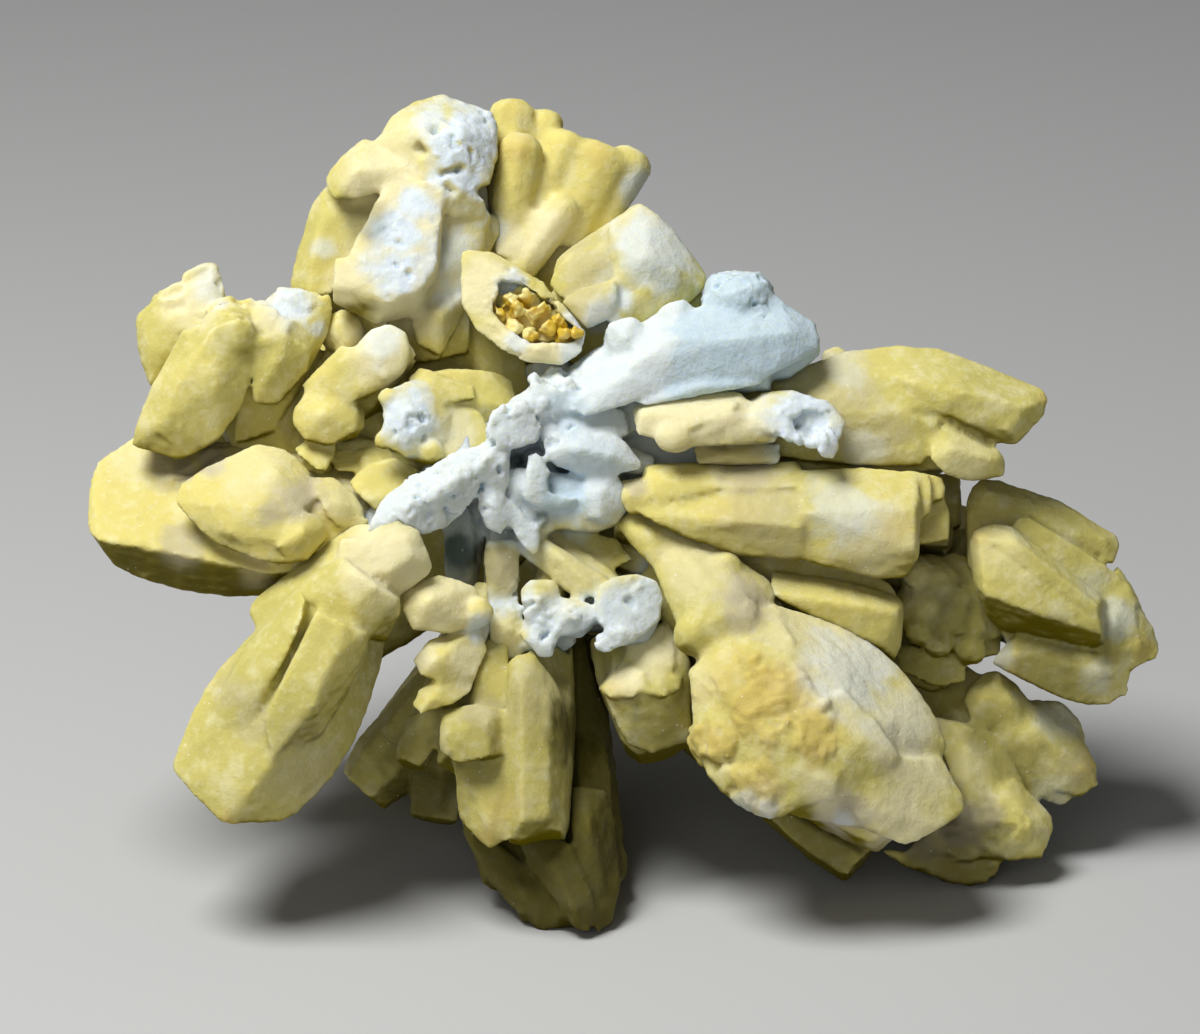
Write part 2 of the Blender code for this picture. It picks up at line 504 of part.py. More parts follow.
def backLeft():
    """The prisms that fan left and back."""
    return [
        prism((-2.6, 1.2, -5.4), (-15.4, 4.4, -6.4), 3.8, 3.6, 10, (0.7, 0.7)),
        prism((-2.6, 0.8, -5.8), (-14.6, -0.6, -8.6), 3.8, 3.8, 25, (0.7, 0.72)),
        prism((-2.4, 1.4, -6.0), (-11.6, 6.4, -10.6), 3.4, 3.4, 15, (0.7, 0.72)),
        prism((-2.2, 0.6, -6.2), (-9.6, 1.6, -14.4), 3.8, 3.6, 5, (0.7, 0.72)),
        prism((-3.0, -0.4, -5.8), (-11.4, -5.4, -8.6), 3.2, 3.2, 20, (0.7, 0.72)),
    ]


def backRight():
    """The prisms that fan right and back."""
    return [
        prism((1.0, 1.0, -5.6), (13.4, 3.0, -8.6), 3.4, 3.4, 15, (0.7, 0.72)),
        prism((1.0, 0.6, -6.8), (14.6, -1.0, -10.8), 3.4, 3.4, 25, (0.7, 0.72)),
        prism((0.8, 0.2, -6.6), (11.2, -3.6, -13.0), 3.6, 3.4, 5, (0.7, 0.72)),
        prism((0.6, 0.8, -6.4), (6.8, 2.4, -15.4), 3.8, 3.6, 15, (0.7, 0.72)),
        prism((2.0, -1.0, -7.4), (13.4, -6.0, -9.6), 3.0, 3.2, 5, (0.7, 0.72)),
    ]


def backLower():
    """The prisms that fan down and back, with the two rear feet."""
    return [
        prism((-1.6, -1.0, -5.4), (-8.6, -10.1, -12.4), 3.1, 3.1, 15, (0.7, 0.7)),
        prism((-1.0, -1.2, -6.0), (-2.8, -9.2, -12.6), 3.6, 3.4, 25, (0.7, 0.72)),
        prism((-0.6, 0.2, -6.6), (-1.2, -2.6, -16.2), 3.8, 3.8, 5, (0.7, 0.72)),
        prism((0.4, -1.0, -5.6), (9.5, -11.0, -9.9), 3.2, 3.2, 15, (0.7, 0.72)),
        prism((0.0, -1.2, -6.0), (3.8, -6.6, -13.2), 3.4, 3.2, 15, (0.7, 0.75)),
    ]


sprays = {
    "stem": (stem, "blue_white"),
    "perched_crystal": (perchedCrystal, "yellow_green"),
    "lower_left_prism": (lowerLeftPrism, "yellow_green"),
    "barrel_crystal": (barrel, "yellow_green"),
    "cream_prism": (creamPrism, "yellow_green"),
    "white_end_prism": (whiteEndPrism, "yellow_green"),
    "hollow_pod": (hollowPod, "yellow_green"),
    "pod_lining": (podLining, "ochre"),
    "left_prism": (leftPrism, "yellow_green"),
    "middle_right_prism": (middleRightPrism, "yellow_green"),
    "bottom_centre_prisms": (bottomCentre, "yellow_green"),
    "curved_cluster": (curvedCluster, "yellow_green"),
    "upper_right_prism": (upperRightPrism, "yellow_green"),
    "left_centre_buds": (leftCentreBuds, "yellow_green"),
    "upper_left_bundle": (upperLeftBundle, "yellow_green"),
    "top_left_spray": (topLeftSpray, "yellow_green"),
    "under_barrel_prisms": (underBarrel, "yellow_green"),
    "bottom_bundle": (bottomBundle, "yellow_green"),
    "top_right_fingers": (topRightFingers, "yellow_green"),
    "right_far_bundle": (rightFarBundle, "yellow_green"),
    "right_lower_bundle": (rightLowerBundle, "yellow_green"),
    "inner_right_prisms": (innerRight, "yellow_green"),
    "back_upper_spray": (backUpper, "yellow_green"),
    "back_left_spray": (backLeft, "yellow_green"),
    "back_right_spray": (backRight, "yellow_green"),
    "back_lower_spray": (backLower, "yellow_green"),
}


def clearScene():
    for old in list(bpy.data.objects):
        bpy.data.objects.remove(old, do_unlink=True)


def materialOf(name):
    made = bpy.data.materials.new(name)
    made.use_nodes = True
    made.diffuse_color = colours[name]
    shader = made.node_tree.nodes["Principled BSDF"]
    shader.inputs["Base Color"].default_value = colours[name]
    shader.inputs["Roughness"].default_value = 0.6
    shader.inputs["Metallic"].default_value = 0.0
    return made


def collectionOf(name, solids):
    made = bpy.data.collections.new(name)
    for solid in solids:
        made.objects.link(solid)
    return made


def applyModifiers(node):
    bpy.context.view_layer.update()
    graph = bpy.context.evaluated_depsgraph_get()
    data = bpy.data.meshes.new_from_object(node.evaluated_get(graph))
    node.modifiers.clear()
    node.data = data


def keepMainBody(data):
    """Drops the loose shards and the sealed pockets, which are bodies of their own."""
    mesh = bmesh.new()
    mesh.from_mesh(data)
    bmesh.ops.remove_doubles(mesh, verts=mesh.verts, dist=shortestEdge * millimetre)
    bodies = []
    waiting = set(mesh.faces)
    while waiting:
        body = [waiting.pop()]
        for face in body:
            for edge in face.edges:
                for other in edge.link_faces:
                    if other in waiting:
                        waiting.remove(other)
                        body.append(other)
        bodies.append(body)
    bodies.sort(key=lambda body: sum(face.calc_area() for face in body))
    for body in bodies[:-1]:
        bmesh.ops.delete(mesh, geom=body, context="FACES")
    bmesh.ops.dissolve_limit(mesh, angle_limit=math.radians(flatEnough), verts=mesh.verts,
                             edges=mesh.edges, use_dissolve_boundaries=False)
    loose = [vert for vert in mesh.verts if not vert.link_faces]
    bmesh.ops.delete(mesh, geom=loose, context="VERTS")
    mesh.to_mesh(data)
    mesh.free()
    return len(bodies) - 1


def closeSlivers(data):
    """Closes up edges and faces that have next to no size."""
    mesh = bmesh.new()
    mesh.from_mesh(data)
    bmesh.ops.dissolve_degenerate(mesh, dist=sliver * millimetre, edges=mesh.edges)
    mesh.to_mesh(data)
    mesh.free()


def nearEachOther(some, others):
    def boxOf(shapes):
        spots = []
        for shape in shapes:
            if shape.kind == "prism":
                reach = max(shape.width, shape.depth) / 2 + seam
                spots += [(shape.root, reach), (shape.tip, reach)]
            else:
                spots.append((shape.centre, shape.radius * 1.2 + seam))
        return [(min(spot[i] - r for spot, r in spots), max(spot[i] + r for spot, r in spots))
                for i in range(3)]

    return all(a[0] < b[1] and b[0] < a[1] for a, b in zip(boxOf(some), boxOf(others)))


def fuse(name, shapes, earlier, material):
    """Joins a spray's crystals in one solid and cuts it back along the seams."""
    first, *rest = [solidOf(shape) for shape in shapes]
    first.name = name
    bpy.context.scene.collection.objects.link(first)
    helpers = []
    if rest:
        joined = collectionOf(name + " crystals", rest)
        union = first.modifiers.new("Crystals", "BOOLEAN")
        union.operation = "UNION"
        union.operand_type = "COLLECTION"
        union.collection = joined
        union.use_self = True
        helpers.append(joined)
    near = [shape for shape in earlier if nearEachOther(shapes, [shape])]
    if near:
        cutters = collectionOf(name + " seams", [solidOf(shape, seam) for shape in near])
        cut = first.modifiers.new("Seams", "BOOLEAN")
        cut.operation = "DIFFERENCE"
        cut.operand_type = "COLLECTION"
        cut.collection = cutters
        cut.use_self = True
        helpers.append(cutters)
    applyModifiers(first)
    dropped = keepMainBody(first.data)
    if len(shapes) > fewCrystals:
        thin = first.modifiers.new("Fewer slivers", "DECIMATE")
        thin.ratio = trianglesKept
        thin.use_collapse_triangulate = True
        applyModifiers(first)
        closeSlivers(first.data)
    first.data.materials.clear()
    first.data.materials.append(material)
    for helper in helpers:
        for solid in list(helper.objects):
            bpy.data.objects.remove(solid, do_unlink=True)
        bpy.data.collections.remove(helper)
    print(name, len(shapes), "crystals,", len(near), "seams,", dropped, "shards dropped,",
          len(first.data.polygons), "faces")
    return first


def layOnFeet(nodes):
    """Leans the cluster back, wears its lowest tips flat and puts the origin under its middle."""
    lean = Matrix.Rotation(math.radians(-leanBack), 4, "X")
    faceOn = Matrix(((1, 0, 0, 0), (0, 0, -1, 0), (0, 1, 0, 0), (0, 0, 0, 1)))
    for node in nodes:
        node.data.transform(lean @ faceOn)
    spots = [vert.co for node in nodes for vert in node.data.vertices]
    low = Vector(min(spot[i] for spot in spots) for i in range(3))
    high = Vector(max(spot[i] for spot in spots) for i in range(3))
    ground = restHeight * millimetre
    middle = (low + high) / 2
    for node in nodes:
        node.data.transform(Matrix.Translation((-middle.x, -middle.y, -ground)))
        wearFlat(node)
    middleOfView = [round(-c / millimetre, 3) for c in (middle.x, middle.y, ground)]
    print("the layout's middle lies at", middleOfView, "mm")
    return high - low


def wearFlat(node):
    mesh = bmesh.new()
    mesh.from_mesh(node.data)
    if min(vert.co.z for vert in mesh.verts) < 0:
        parts = list(mesh.verts) + list(mesh.edges) + list(mesh.faces)
        cut = bmesh.ops.bisect_plane(mesh, geom=parts, dist=groundTolerance, plane_co=(0, 0, 0),
                                     plane_no=(0, 0, -1), clear_outer=True)
        rim = [piece for piece in cut["geom_cut"] if isinstance(piece, bmesh.types.BMEdge)]
        made = bmesh.ops.contextual_create(mesh, geom=rim)
        if not made["faces"]:
            bmesh.ops.holes_fill(mesh, edges=rim)
        flats = [face for face in mesh.faces
                 if all(abs(vert.co.z) < groundTolerance for vert in face.verts)]
        for face in flats:
            centre = face.calc_center_median() / millimetre
            print("foot on", node.name, [round(c, 2) for c in centre],
                  round(face.calc_area() / millimetre**2, 2), "mm2")
        bmesh.ops.recalc_face_normals(mesh, faces=mesh.faces)
        mesh.to_mesh(node.data)
        closeSlivers(node.data)
    mesh.free()


def main():
    clearScene()
    materials = {name: materialOf(name) for name in colours}
    nodes, earlier = [], []
    for name, (crystals, colour) in sprays.items():
        shapes = crystals()
        nodes.append(fuse(name, shapes, earlier, materials[colour]))
        earlier += shapes
    size = layOnFeet(nodes)
    print("size", [round(s / millimetre, 2) for s in size], "mm,",
          sum(len(face.vertices) - 2 for node in nodes for face in node.data.polygons), "triangles")


main()
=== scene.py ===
import math

import bmesh
import bpy
import numpy
from mathutils import Matrix, Vector, noise


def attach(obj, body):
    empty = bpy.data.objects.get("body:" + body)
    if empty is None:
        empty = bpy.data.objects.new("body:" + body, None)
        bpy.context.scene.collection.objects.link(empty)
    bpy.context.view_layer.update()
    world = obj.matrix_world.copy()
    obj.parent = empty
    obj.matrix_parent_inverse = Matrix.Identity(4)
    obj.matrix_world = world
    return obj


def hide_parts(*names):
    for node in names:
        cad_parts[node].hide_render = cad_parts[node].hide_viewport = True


# Looks of a cluster of stepped hexagonal crystals round a blue-white broken stem.
# Spots are given face-on, in millimetres, as (right, up, front) of the layout's middle.

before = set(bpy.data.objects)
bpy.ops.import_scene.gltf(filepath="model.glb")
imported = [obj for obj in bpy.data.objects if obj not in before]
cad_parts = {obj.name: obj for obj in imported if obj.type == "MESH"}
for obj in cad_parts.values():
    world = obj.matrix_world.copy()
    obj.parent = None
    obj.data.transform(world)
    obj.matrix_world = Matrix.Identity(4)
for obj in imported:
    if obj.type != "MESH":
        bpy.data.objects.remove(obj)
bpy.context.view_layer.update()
millimetre = 0.001
layout = {"leanBack": 20, "middle": (-1.011, -3.584, 14.0)}
leanTurn = Matrix.Rotation(math.radians(-layout["leanBack"]), 3, "X")


def place(right, up, front):
    # a spot of the layout where the cluster rests, in metres
    resting = leanTurn @ Vector((right, -front, up)) + Vector(layout["middle"])
    return resting * millimetre


def faceOn(spots):
    # resting spots in metres, seen as (right, up, front) of the layout in millimetres
    turned = (spots / millimetre - numpy.array(layout["middle"])) @ numpy.array(leanTurn)
    return numpy.stack((turned[:, 0], turned[:, 2], -turned[:, 1]), axis=1)


def smooth(values, low, high):
    share = numpy.clip((values - low) / (high - low), 0, 1)
    return share * share * (3 - 2 * share)


def cloud(spots, scale, shift=0.0):
    # soft noise from about -1 to 1 at each spot; scale is in lumps a millimetre
    return numpy.array([noise.noise(spot) for spot in (spots * scale + shift).tolist()])


def cells(spots, scale, shift=0.0):
    # for each spot: how much nearer its own grain is than the next, and a number for the grain
    gap, mark = [], []
    for spot in (spots * scale + shift).tolist():
        far, middles = noise.voronoi(spot)
        gap.append(far[1] - far[0])
        mark.append(noise.cell(middles[0] * 7.3))
    return numpy.array(gap), numpy.array(mark)


# materials: maths on sockets, a material under construction, then the finishes

class Wire:
    # a socket in a material: arithmetic on it adds the Math nodes

    def __init__(self, finish, socket):
        self.finish = finish
        self.socket = socket

    def math(self, operation, first, second=None):
        values = [first] if second is None else [first, second]
        return self.finish.node("ShaderNodeMath", {"operation": operation}, dict(enumerate(values)))

    def __add__(self, other):
        return self.math("ADD", self, other)

    def __radd__(self, other):
        return self.math("ADD", other, self)

    def __sub__(self, other):
        return self.math("SUBTRACT", self, other)

    def __rsub__(self, other):
        return self.math("SUBTRACT", other, self)

    def __mul__(self, other):
        return self.math("MULTIPLY", self, other)

    def __rmul__(self, other):
        return self.math("MULTIPLY", other, self)

    def __gt__(self, other):
        return self.math("GREATER_THAN", self, other)

    def clamp(self):
        return self.finish.node("ShaderNodeClamp", {}, {0: self})

    def between(self, low, high):
        # 0 below low, 1 above high and a soft step between
        return self.finish.node("ShaderNodeMapRange", {"interpolation_type": "SMOOTHSTEP"},
                                {0: self, 1: low, 2: high})


class Finish:
    # a material under construction

    def __init__(self, name, preview):
        self.material = bpy.data.materials.new(name)
        self.material.use_nodes = True
        self.material.diffuse_color = (*preview, 1)
        self.tree = self.material.node_tree
        self.shader = self.tree.nodes["Principled BSDF"]

    def node(self, kind, settings=None, sockets=None, output=0):
        # a node of that kind, with its settings set first, then its sockets' values or links
        made = self.tree.nodes.new(kind)
        for name, value in (settings or {}).items():
            setattr(made, name, value)
        for key, value in (sockets or {}).items():
            self.fill(made.inputs[key], value)
        return Wire(self, made.outputs[output])

    def fill(self, socket, value):
        if isinstance(value, Wire):
            self.tree.links.new(value.socket, socket)
        elif isinstance(value, tuple) and len(value) == 3 and socket.type == "RGBA":
            socket.default_value = (*value, 1)
        else:
            socket.default_value = value

    def surface(self, **sockets):
        for name, value in sockets.items():
            self.fill(self.shader.inputs[name], value)

    def blend(self, share, first, second):
        return self.node("ShaderNodeMix", {"data_type": "RGBA", "clamp_factor": True},
                         {0: share, 6: first, 7: second}, 2)

    def noise(self, spots, scale, detail=2.0, rough=0.5):
        return self.node("ShaderNodeTexNoise", {},
                         {"Vector": spots, "Scale": scale, "Detail": detail, "Roughness": rough})

    def channels(self, name):
        # the four numbers kept at each point under that name
        found = self.node("ShaderNodeAttribute", {"attribute_name": name}, {}, "Color")
        parts = self.tree.nodes.new("ShaderNodeSeparateColor")
        self.fill(parts.inputs[0], found)
        wires = [Wire(self, parts.outputs[i]) for i in range(3)]
        return wires + [Wire(self, found.socket.node.outputs["Alpha"])]


crystalLook = {
    "green": (0.54, 0.485, 0.15),      # the waxy body
    "butter": (0.68, 0.595, 0.20),     # its warmer places
    "pale": (0.75, 0.71, 0.44),        # cloudy places, and worn edges that are partly a painted highlight along the rims
    "shadeOlive": (0.15, 0.12, 0.002),     # painted shade on undersides and in creases
    "deepShade": (0.05, 0.042, 0.003),      # painted shade in deep places
    "cream": (0.77, 0.71, 0.45),
    "lilac": (0.47, 0.42, 0.31),       # grey-lilac stains
    "ochre": (0.55, 0.41, 0.11),
    "rust": (0.60, 0.38, 0.12),        # warm corners
    "white": (0.66, 0.72, 0.745),       # broken blue-white ends
    "blue": (0.50, 0.63, 0.72),        # blue places of the white, and its painted shade in creases and undersides
    "whiteDeepShade": (0.07, 0.12, 0.11),        # painted shade in deep places of the white
    "cloudScale": 260.0,
    "grainScale": 2600.0,
    "speckScale": 2600.0,
    # painted glint on tiny specks
    "paintedGlint": (0.9, 0.9, 0.84),
    "roughness": 0.5,
    "bump": 0.6, "bumpDepth": 0.00006,
    "milky": 0.6, "scatter": 0.0006, "scatterColour": (1.0, 0.9, 0.45),   # how light soaks in
    "ior": 1.5, "gloss": 0.04,
}


def crystalFinish(name, look):
    finish = Finish(name, look["green"])
    here = finish.node("ShaderNodeTexCoord", {}, {}, "Object")
    white, lilac, ochre, cream = finish.channels("coat")
    rim, creaseShade, underShade, warmth = finish.channels("form")
    deep = finish.channels("deep")[0]

    broad = finish.noise(here, look["cloudScale"], 3.0, 0.55)
    middling = finish.noise(here, look["cloudScale"] * 3.1, 3.0, 0.6)
    grain = finish.noise(here, look["grainScale"], 2.0, 0.6)
    warmHere = (warmth + (broad - 0.5) * 1.1 + (middling - 0.5) * 0.5).between(0.15, 0.95)
    body = finish.blend(warmHere, look["green"], look["butter"])
    body = finish.blend((middling - 0.48).between(0.0, 0.22) * 0.5, body, look["pale"])
    body = finish.blend((grain - 0.5).between(0.0, 0.25) * 0.35, body, look["pale"])
    # paler edges: worn, and partly a painted highlight along the rims
    body = finish.blend(rim * (0.35 + grain * 0.4), body, look["pale"])
    # painted shade: olive on undersides and in creases
    body = finish.blend((underShade + creaseShade * 0.5).clamp(), body, look["shadeOlive"])
    body = finish.blend(lilac * 0.85, body, look["lilac"])
    body = finish.blend(cream * 0.85, body, look["cream"])
    body = finish.blend((ochre + (grain - 0.5) * 0.3 * ochre).clamp() * 0.9, body, look["ochre"])
    body = finish.blend(rim * (broad - 0.52).between(0.0, 0.12) * 0.6, body, look["rust"])
    # painted shade in deep places
    body = finish.blend(deep, body, look["deepShade"])
    # the white is bluer in its blue places, painted bluer as shade in its creases and undersides, and
    # painted teal as shade deep inside
    blueness = creaseShade * 1.2 + (middling - 0.5) * 0.8 + (0.0 - warmth).between(0.0, 1.2) * 0.9
    crust = finish.blend((blueness + underShade * 0.6).clamp(), look["white"], look["blue"])
    body = finish.blend(white, body, finish.blend(deep, crust, look["whiteDeepShade"]))
    specks = finish.node("ShaderNodeTexVoronoi", {"feature": "F1"},
                         {"Vector": here, "Scale": look["speckScale"]})
    # painted glint: tiny pale specks in the base colour, which are also less rough
    spark = (0.13 - specks).between(0.0, 0.08) * (finish.noise(here, 900.0, 1.0) > 0.6)
    body = finish.blend(spark * 0.5, body, look["paintedGlint"])
    satin = finish.noise(here, look["grainScale"] * 3.2, 1.0)
    height = grain * (white + 1.0) + satin * 0.6 + middling
    sugar = finish.node("ShaderNodeBump", {},
                        {"Strength": look["bump"], "Distance": look["bumpDepth"], "Height": height})
    rough = look["roughness"] + (grain - 0.5) * 0.3 - spark * 0.3
    finish.surface(**{"Base Color": body, "Roughness": rough, "Normal": sugar,
                      "Subsurface Weight": look["milky"], "Subsurface Scale": look["scatter"],
                      "Subsurface Radius": look["scatterColour"], "IOR": look["ior"],
                      "Specular IOR Level": look["gloss"]})
    return finish.material


amberLook = {
    "amber": (0.62, 0.43, 0.04),
    "honey": (0.82, 0.72, 0.32),
    "patchScale": 900.0,
    "roughness": 0.3,
    "milky": 0.3, "scatter": 0.0006, "scatterColour": (1.0, 0.6, 0.1),
}


def amberFinish(name, look):
    finish = Finish(name, look["amber"])
    here = finish.node("ShaderNodeTexCoord", {}, {}, "Object")
    patch = finish.noise(here, look["patchScale"], 2.0)
    body = finish.blend(patch.between(0.38, 0.6), look["amber"], look["honey"])
    finish.surface(**{"Base Color": body, "Roughness": look["roughness"],
                      "Subsurface Weight": look["milky"], "Subsurface Scale": look["scatter"],
                      "Subsurface Radius": look["scatterColour"]})
    return finish.material


finishes = {
    "yellow_green": crystalFinish("waxy yellow-green crystal", crystalLook),
    "ochre": amberFinish("amber crystal", amberLook),
}


viewer = Vector((0, 0, 1))
toRest = (Matrix.Translation(place(0, 0, 0))
          @ (leanTurn @ Matrix(((1, 0, 0), (0, 0, -1), (0, 1, 0))) * millimetre).to_4x4())


def block(thick, *corners, taper=0.62):
    # a faceted crystal seen from its front: its corners, how far it goes back from them and how
    # narrow it gets there
    return {"make": addBlock, "thick": thick, "corners": corners, "taper": taper}


def crystal(root, tip, width, depth=None, roll=0, ends=(0.75, 0.75), belly=0.45, bevel=0.3, sides=6):
    # a barrel-shaped prism: width lies across the view, depth along it, and ends are how wide
    # its root and its tip are beside its belly
    return {"make": addCrystal, "root": root, "tip": tip, "width": width, "depth": depth or width * 0.9,
            "roll": roll, "ends": ends, "belly": belly, "bevel": bevel, "sides": sides}


def knob(centre, radius, squash=(1, 1, 1)):
    return {"make": addKnob, "centre": centre, "radius": radius, "squash": squash}


def addBlock(mesh, thick, corners, taper):
    front = [Vector(corner) for corner in corners]
    middle = sum(front, Vector()) / len(front)
    back = [middle.lerp(corner, taper) for corner in front]
    for inner, corner in zip(back, front):
        inner.z = corner.z - thick
    verts = [bmesh.ops.create_vert(mesh, co=spot)["vert"][0] for spot in front + back]
    made = bmesh.ops.convex_hull(mesh, input=verts)
    inside = [item for item in made["geom_interior"] + made["geom_unused"]
              if isinstance(item, bmesh.types.BMVert)]
    bmesh.ops.delete(mesh, geom=list(set(inside)), context="VERTS")


def addCrystal(mesh, root, tip, width, depth, roll, ends, belly, bevel, sides):
    root, tip = Vector(root), Vector(tip)
    along = tip - root
    length = along.length
    along.normalize()
    across = viewer.cross(along)
    if across.length < 0.15:
        across = Vector((1, 0, 0))
    across = (across - along * across.dot(along)).normalized()
    laid = Matrix((across, along.cross(across), along)).transposed().to_4x4()
    laid.translation = root
    made = bmesh.ops.create_circle(mesh, cap_ends=True, segments=sides, radius=0.5)
    bmesh.ops.rotate(mesh, matrix=Matrix.Rotation(math.radians(roll), 3, "Z"), verts=made["verts"])
    for number, vert in enumerate(made["verts"]):
        vert.co *= 1 + 0.12 * noise.noise((root.x + number * 1.7, root.y, tip.x))
    bmesh.ops.scale(mesh, vec=(width * ends[0], depth * ends[0], 1), verts=made["verts"])
    face = made["verts"][0].link_faces[0]
    everything = list(made["verts"])
    rim = max(1 - bevel / length, 0.7)
    steps = [(share, 1 - (1 - ends[0]) * (1 - share / belly) ** 2)
             for share in (belly * 0.35, belly * 0.7)]
    steps += [(share, 1 - (1 - ends[1]) * ((share - belly) / (1 - belly)) ** 2)
              for share in (belly, belly + (rim - belly) * 0.45, belly + (rim - belly) * 0.8, rim)]
    steps.append((1, steps[-1][1] * max(1 - 2 * bevel / width, 0.3)))
    reached, wide = 0, ends[0]
    for share, girth in steps:
        grown = bmesh.ops.extrude_face_region(mesh, geom=[face])
        face = next(item for item in grown["geom"] if isinstance(item, bmesh.types.BMFace))
        verts = list(face.verts)
        bmesh.ops.scale(mesh, vec=(girth / wide, girth / wide, 1), verts=verts)
        bmesh.ops.translate(mesh, vec=(0, 0, (share - reached) * length), verts=verts)
        reached, wide = share, girth
        everything += verts
    bmesh.ops.transform(mesh, matrix=laid, verts=everything)


def addKnob(mesh, centre, radius, squash):
    made = bmesh.ops.create_icosphere(mesh, subdivisions=2, radius=radius)
    for vert in made["verts"]:
        vert.co *= 1 + 0.16 * noise.noise(vert.co * 1.3 / radius + Vector(centre))
    bmesh.ops.scale(mesh, vec=squash, verts=made["verts"])
    bmesh.ops.translate(mesh, vec=centre, verts=made["verts"])


def addShapes(mesh, shapes):
    # builds the shapes face-on, lays them where the cluster rests and adds them to the mesh
    part = bmesh.new()
    for shape in shapes:
        shape = dict(shape)
        shape.pop("make")(part, **shape)
    bmesh.ops.transform(part, matrix=toRest, verts=part.verts)
    bmesh.ops.recalc_face_normals(part, faces=part.faces)
    data = bpy.data.meshes.new("shapes")
    part.to_mesh(data)
    part.free()
    mesh.from_mesh(data)
    bpy.data.meshes.remove(data)


def looseCopy(node):
    # the node's triangles, joined at their corners
    mesh = bmesh.new()
    mesh.from_mesh(node.data)
    bmesh.ops.remove_doubles(mesh, verts=mesh.verts, dist=1e-6)
    return mesh


def applyTo(piece):
    bpy.context.view_layer.update()
    graph = bpy.context.evaluated_depsgraph_get()
    skin = bpy.data.meshes.new_from_object(piece.evaluated_get(graph))
    old = piece.data
    piece.modifiers.clear()
    piece.data = skin
    bpy.data.meshes.remove(old)


def objectOf(name, mesh):
    data = bpy.data.meshes.new(name)
    mesh.to_mesh(data)
    mesh.free()
    made = bpy.data.objects.new(name, data)
    bpy.context.scene.collection.objects.link(made)
    return made


def evenSkin(piece, voxel):
    remesh = piece.modifiers.new("Even skin", "REMESH")
    remesh.mode = "VOXEL"
    remesh.voxel_size = voxel * millimetre
    applyTo(piece)


def fineMesh(name, mesh, voxel, hollows):
    # all that the mesh holds, joined in one skin of small even faces, less the hollows
    piece = objectOf(name, mesh)
    evenSkin(piece, voxel)
    if hollows:
        cutter = bmesh.new()
        addShapes(cutter, hollows)
        tool = objectOf("hollows", cutter)
        evenSkin(tool, voxel)
        cut = piece.modifiers.new("Hollows", "BOOLEAN")
        cut.operation = "DIFFERENCE"
        cut.solver = "MANIFOLD"
        cut.object = tool
        applyTo(piece)
        evenSkin(piece, voxel)
        bpy.data.objects.remove(tool, do_unlink=True)
    return piece


class Skin:
    # a piece's points as arrays, for what is worked out at every point

    def __init__(self, piece):
        self.data = piece.data
        count = len(self.data.vertices)
        self.spots = numpy.empty(count * 3)
        self.data.vertices.foreach_get("co", self.spots)
        self.spots = self.spots.reshape(-1, 3)
        self.edges = numpy.empty(len(self.data.edges) * 2, numpy.int64)
        self.data.edges.foreach_get("vertices", self.edges)
        self.edges = self.edges.reshape(-1, 2)
        self.links = numpy.bincount(self.edges.ravel(), minlength=count)

    def normals(self):
        self.store()
        found = numpy.empty(len(self.spots) * 3)
        self.data.vertices.foreach_get("normal", found)
        return found.reshape(-1, 3)

    def store(self):
        self.data.vertices.foreach_set("co", self.spots.ravel())
        self.data.update()

    def spread(self, values):
        # the mean of each point's neighbours
        a, b = self.edges.T
        count = len(self.links)
        total = numpy.bincount(a, values[b], count) + numpy.bincount(b, values[a], count)
        return total / numpy.maximum(self.links, 1)

    def relaxed(self, rounds):
        soft = self.spots.copy()
        for _ in range(rounds):
            for i in range(3):
                soft[:, i] += 0.5 * (self.spread(soft[:, i]) - soft[:, i])
        return soft

    def bend(self, rounds):
        # how far each point stands out of its smoothed surroundings, in millimetres
        away = self.spots - self.relaxed(rounds)
        return (away * self.normals()).sum(axis=1) / millimetre

    def push(self, heights):
        # moves each point along its normal, in millimetres
        self.spots += self.normals() * (heights * millimetre)[:, None]


def patches(spots, zones, ragged=0.7, shift=0.0):
    # soft blobs at (right, up, radius), with ragged edges
    mask = numpy.zeros(len(spots))
    if not zones:
        return mask
    wobble = cloud(spots, 0.9, 31.7 + shift) * ragged + cloud(spots, 2.6, 11.3) * ragged * 0.6
    for right, up, radius, *strength in zones:
        reach = numpy.hypot(spots[:, 0] - right, spots[:, 1] - up) / radius + wobble
        mask = numpy.maximum(mask, (1 - smooth(reach, 0.45, 1.35)) * (strength[0] if strength else 1))
    return mask


def scores(spots, marks):
    # grooves (and ridges, below zero) along lines drawn on the front: two ends, width and depth
    depth = numpy.zeros(len(spots))
    wander = cloud(spots, 1.1, 71.0) * 0.22
    for right, up, right2, up2, width, deep in marks:
        run = numpy.array((right2 - right, up2 - up))
        away = spots[:, :2] - (right, up)
        share = numpy.clip(away @ run / max(run @ run, 1e-6), 0, 1)
        gap = numpy.hypot(*(away - share[:, None] * run).T) + wander * width
        depth += deep * (1 - smooth(gap, 0.0, width))
    return depth


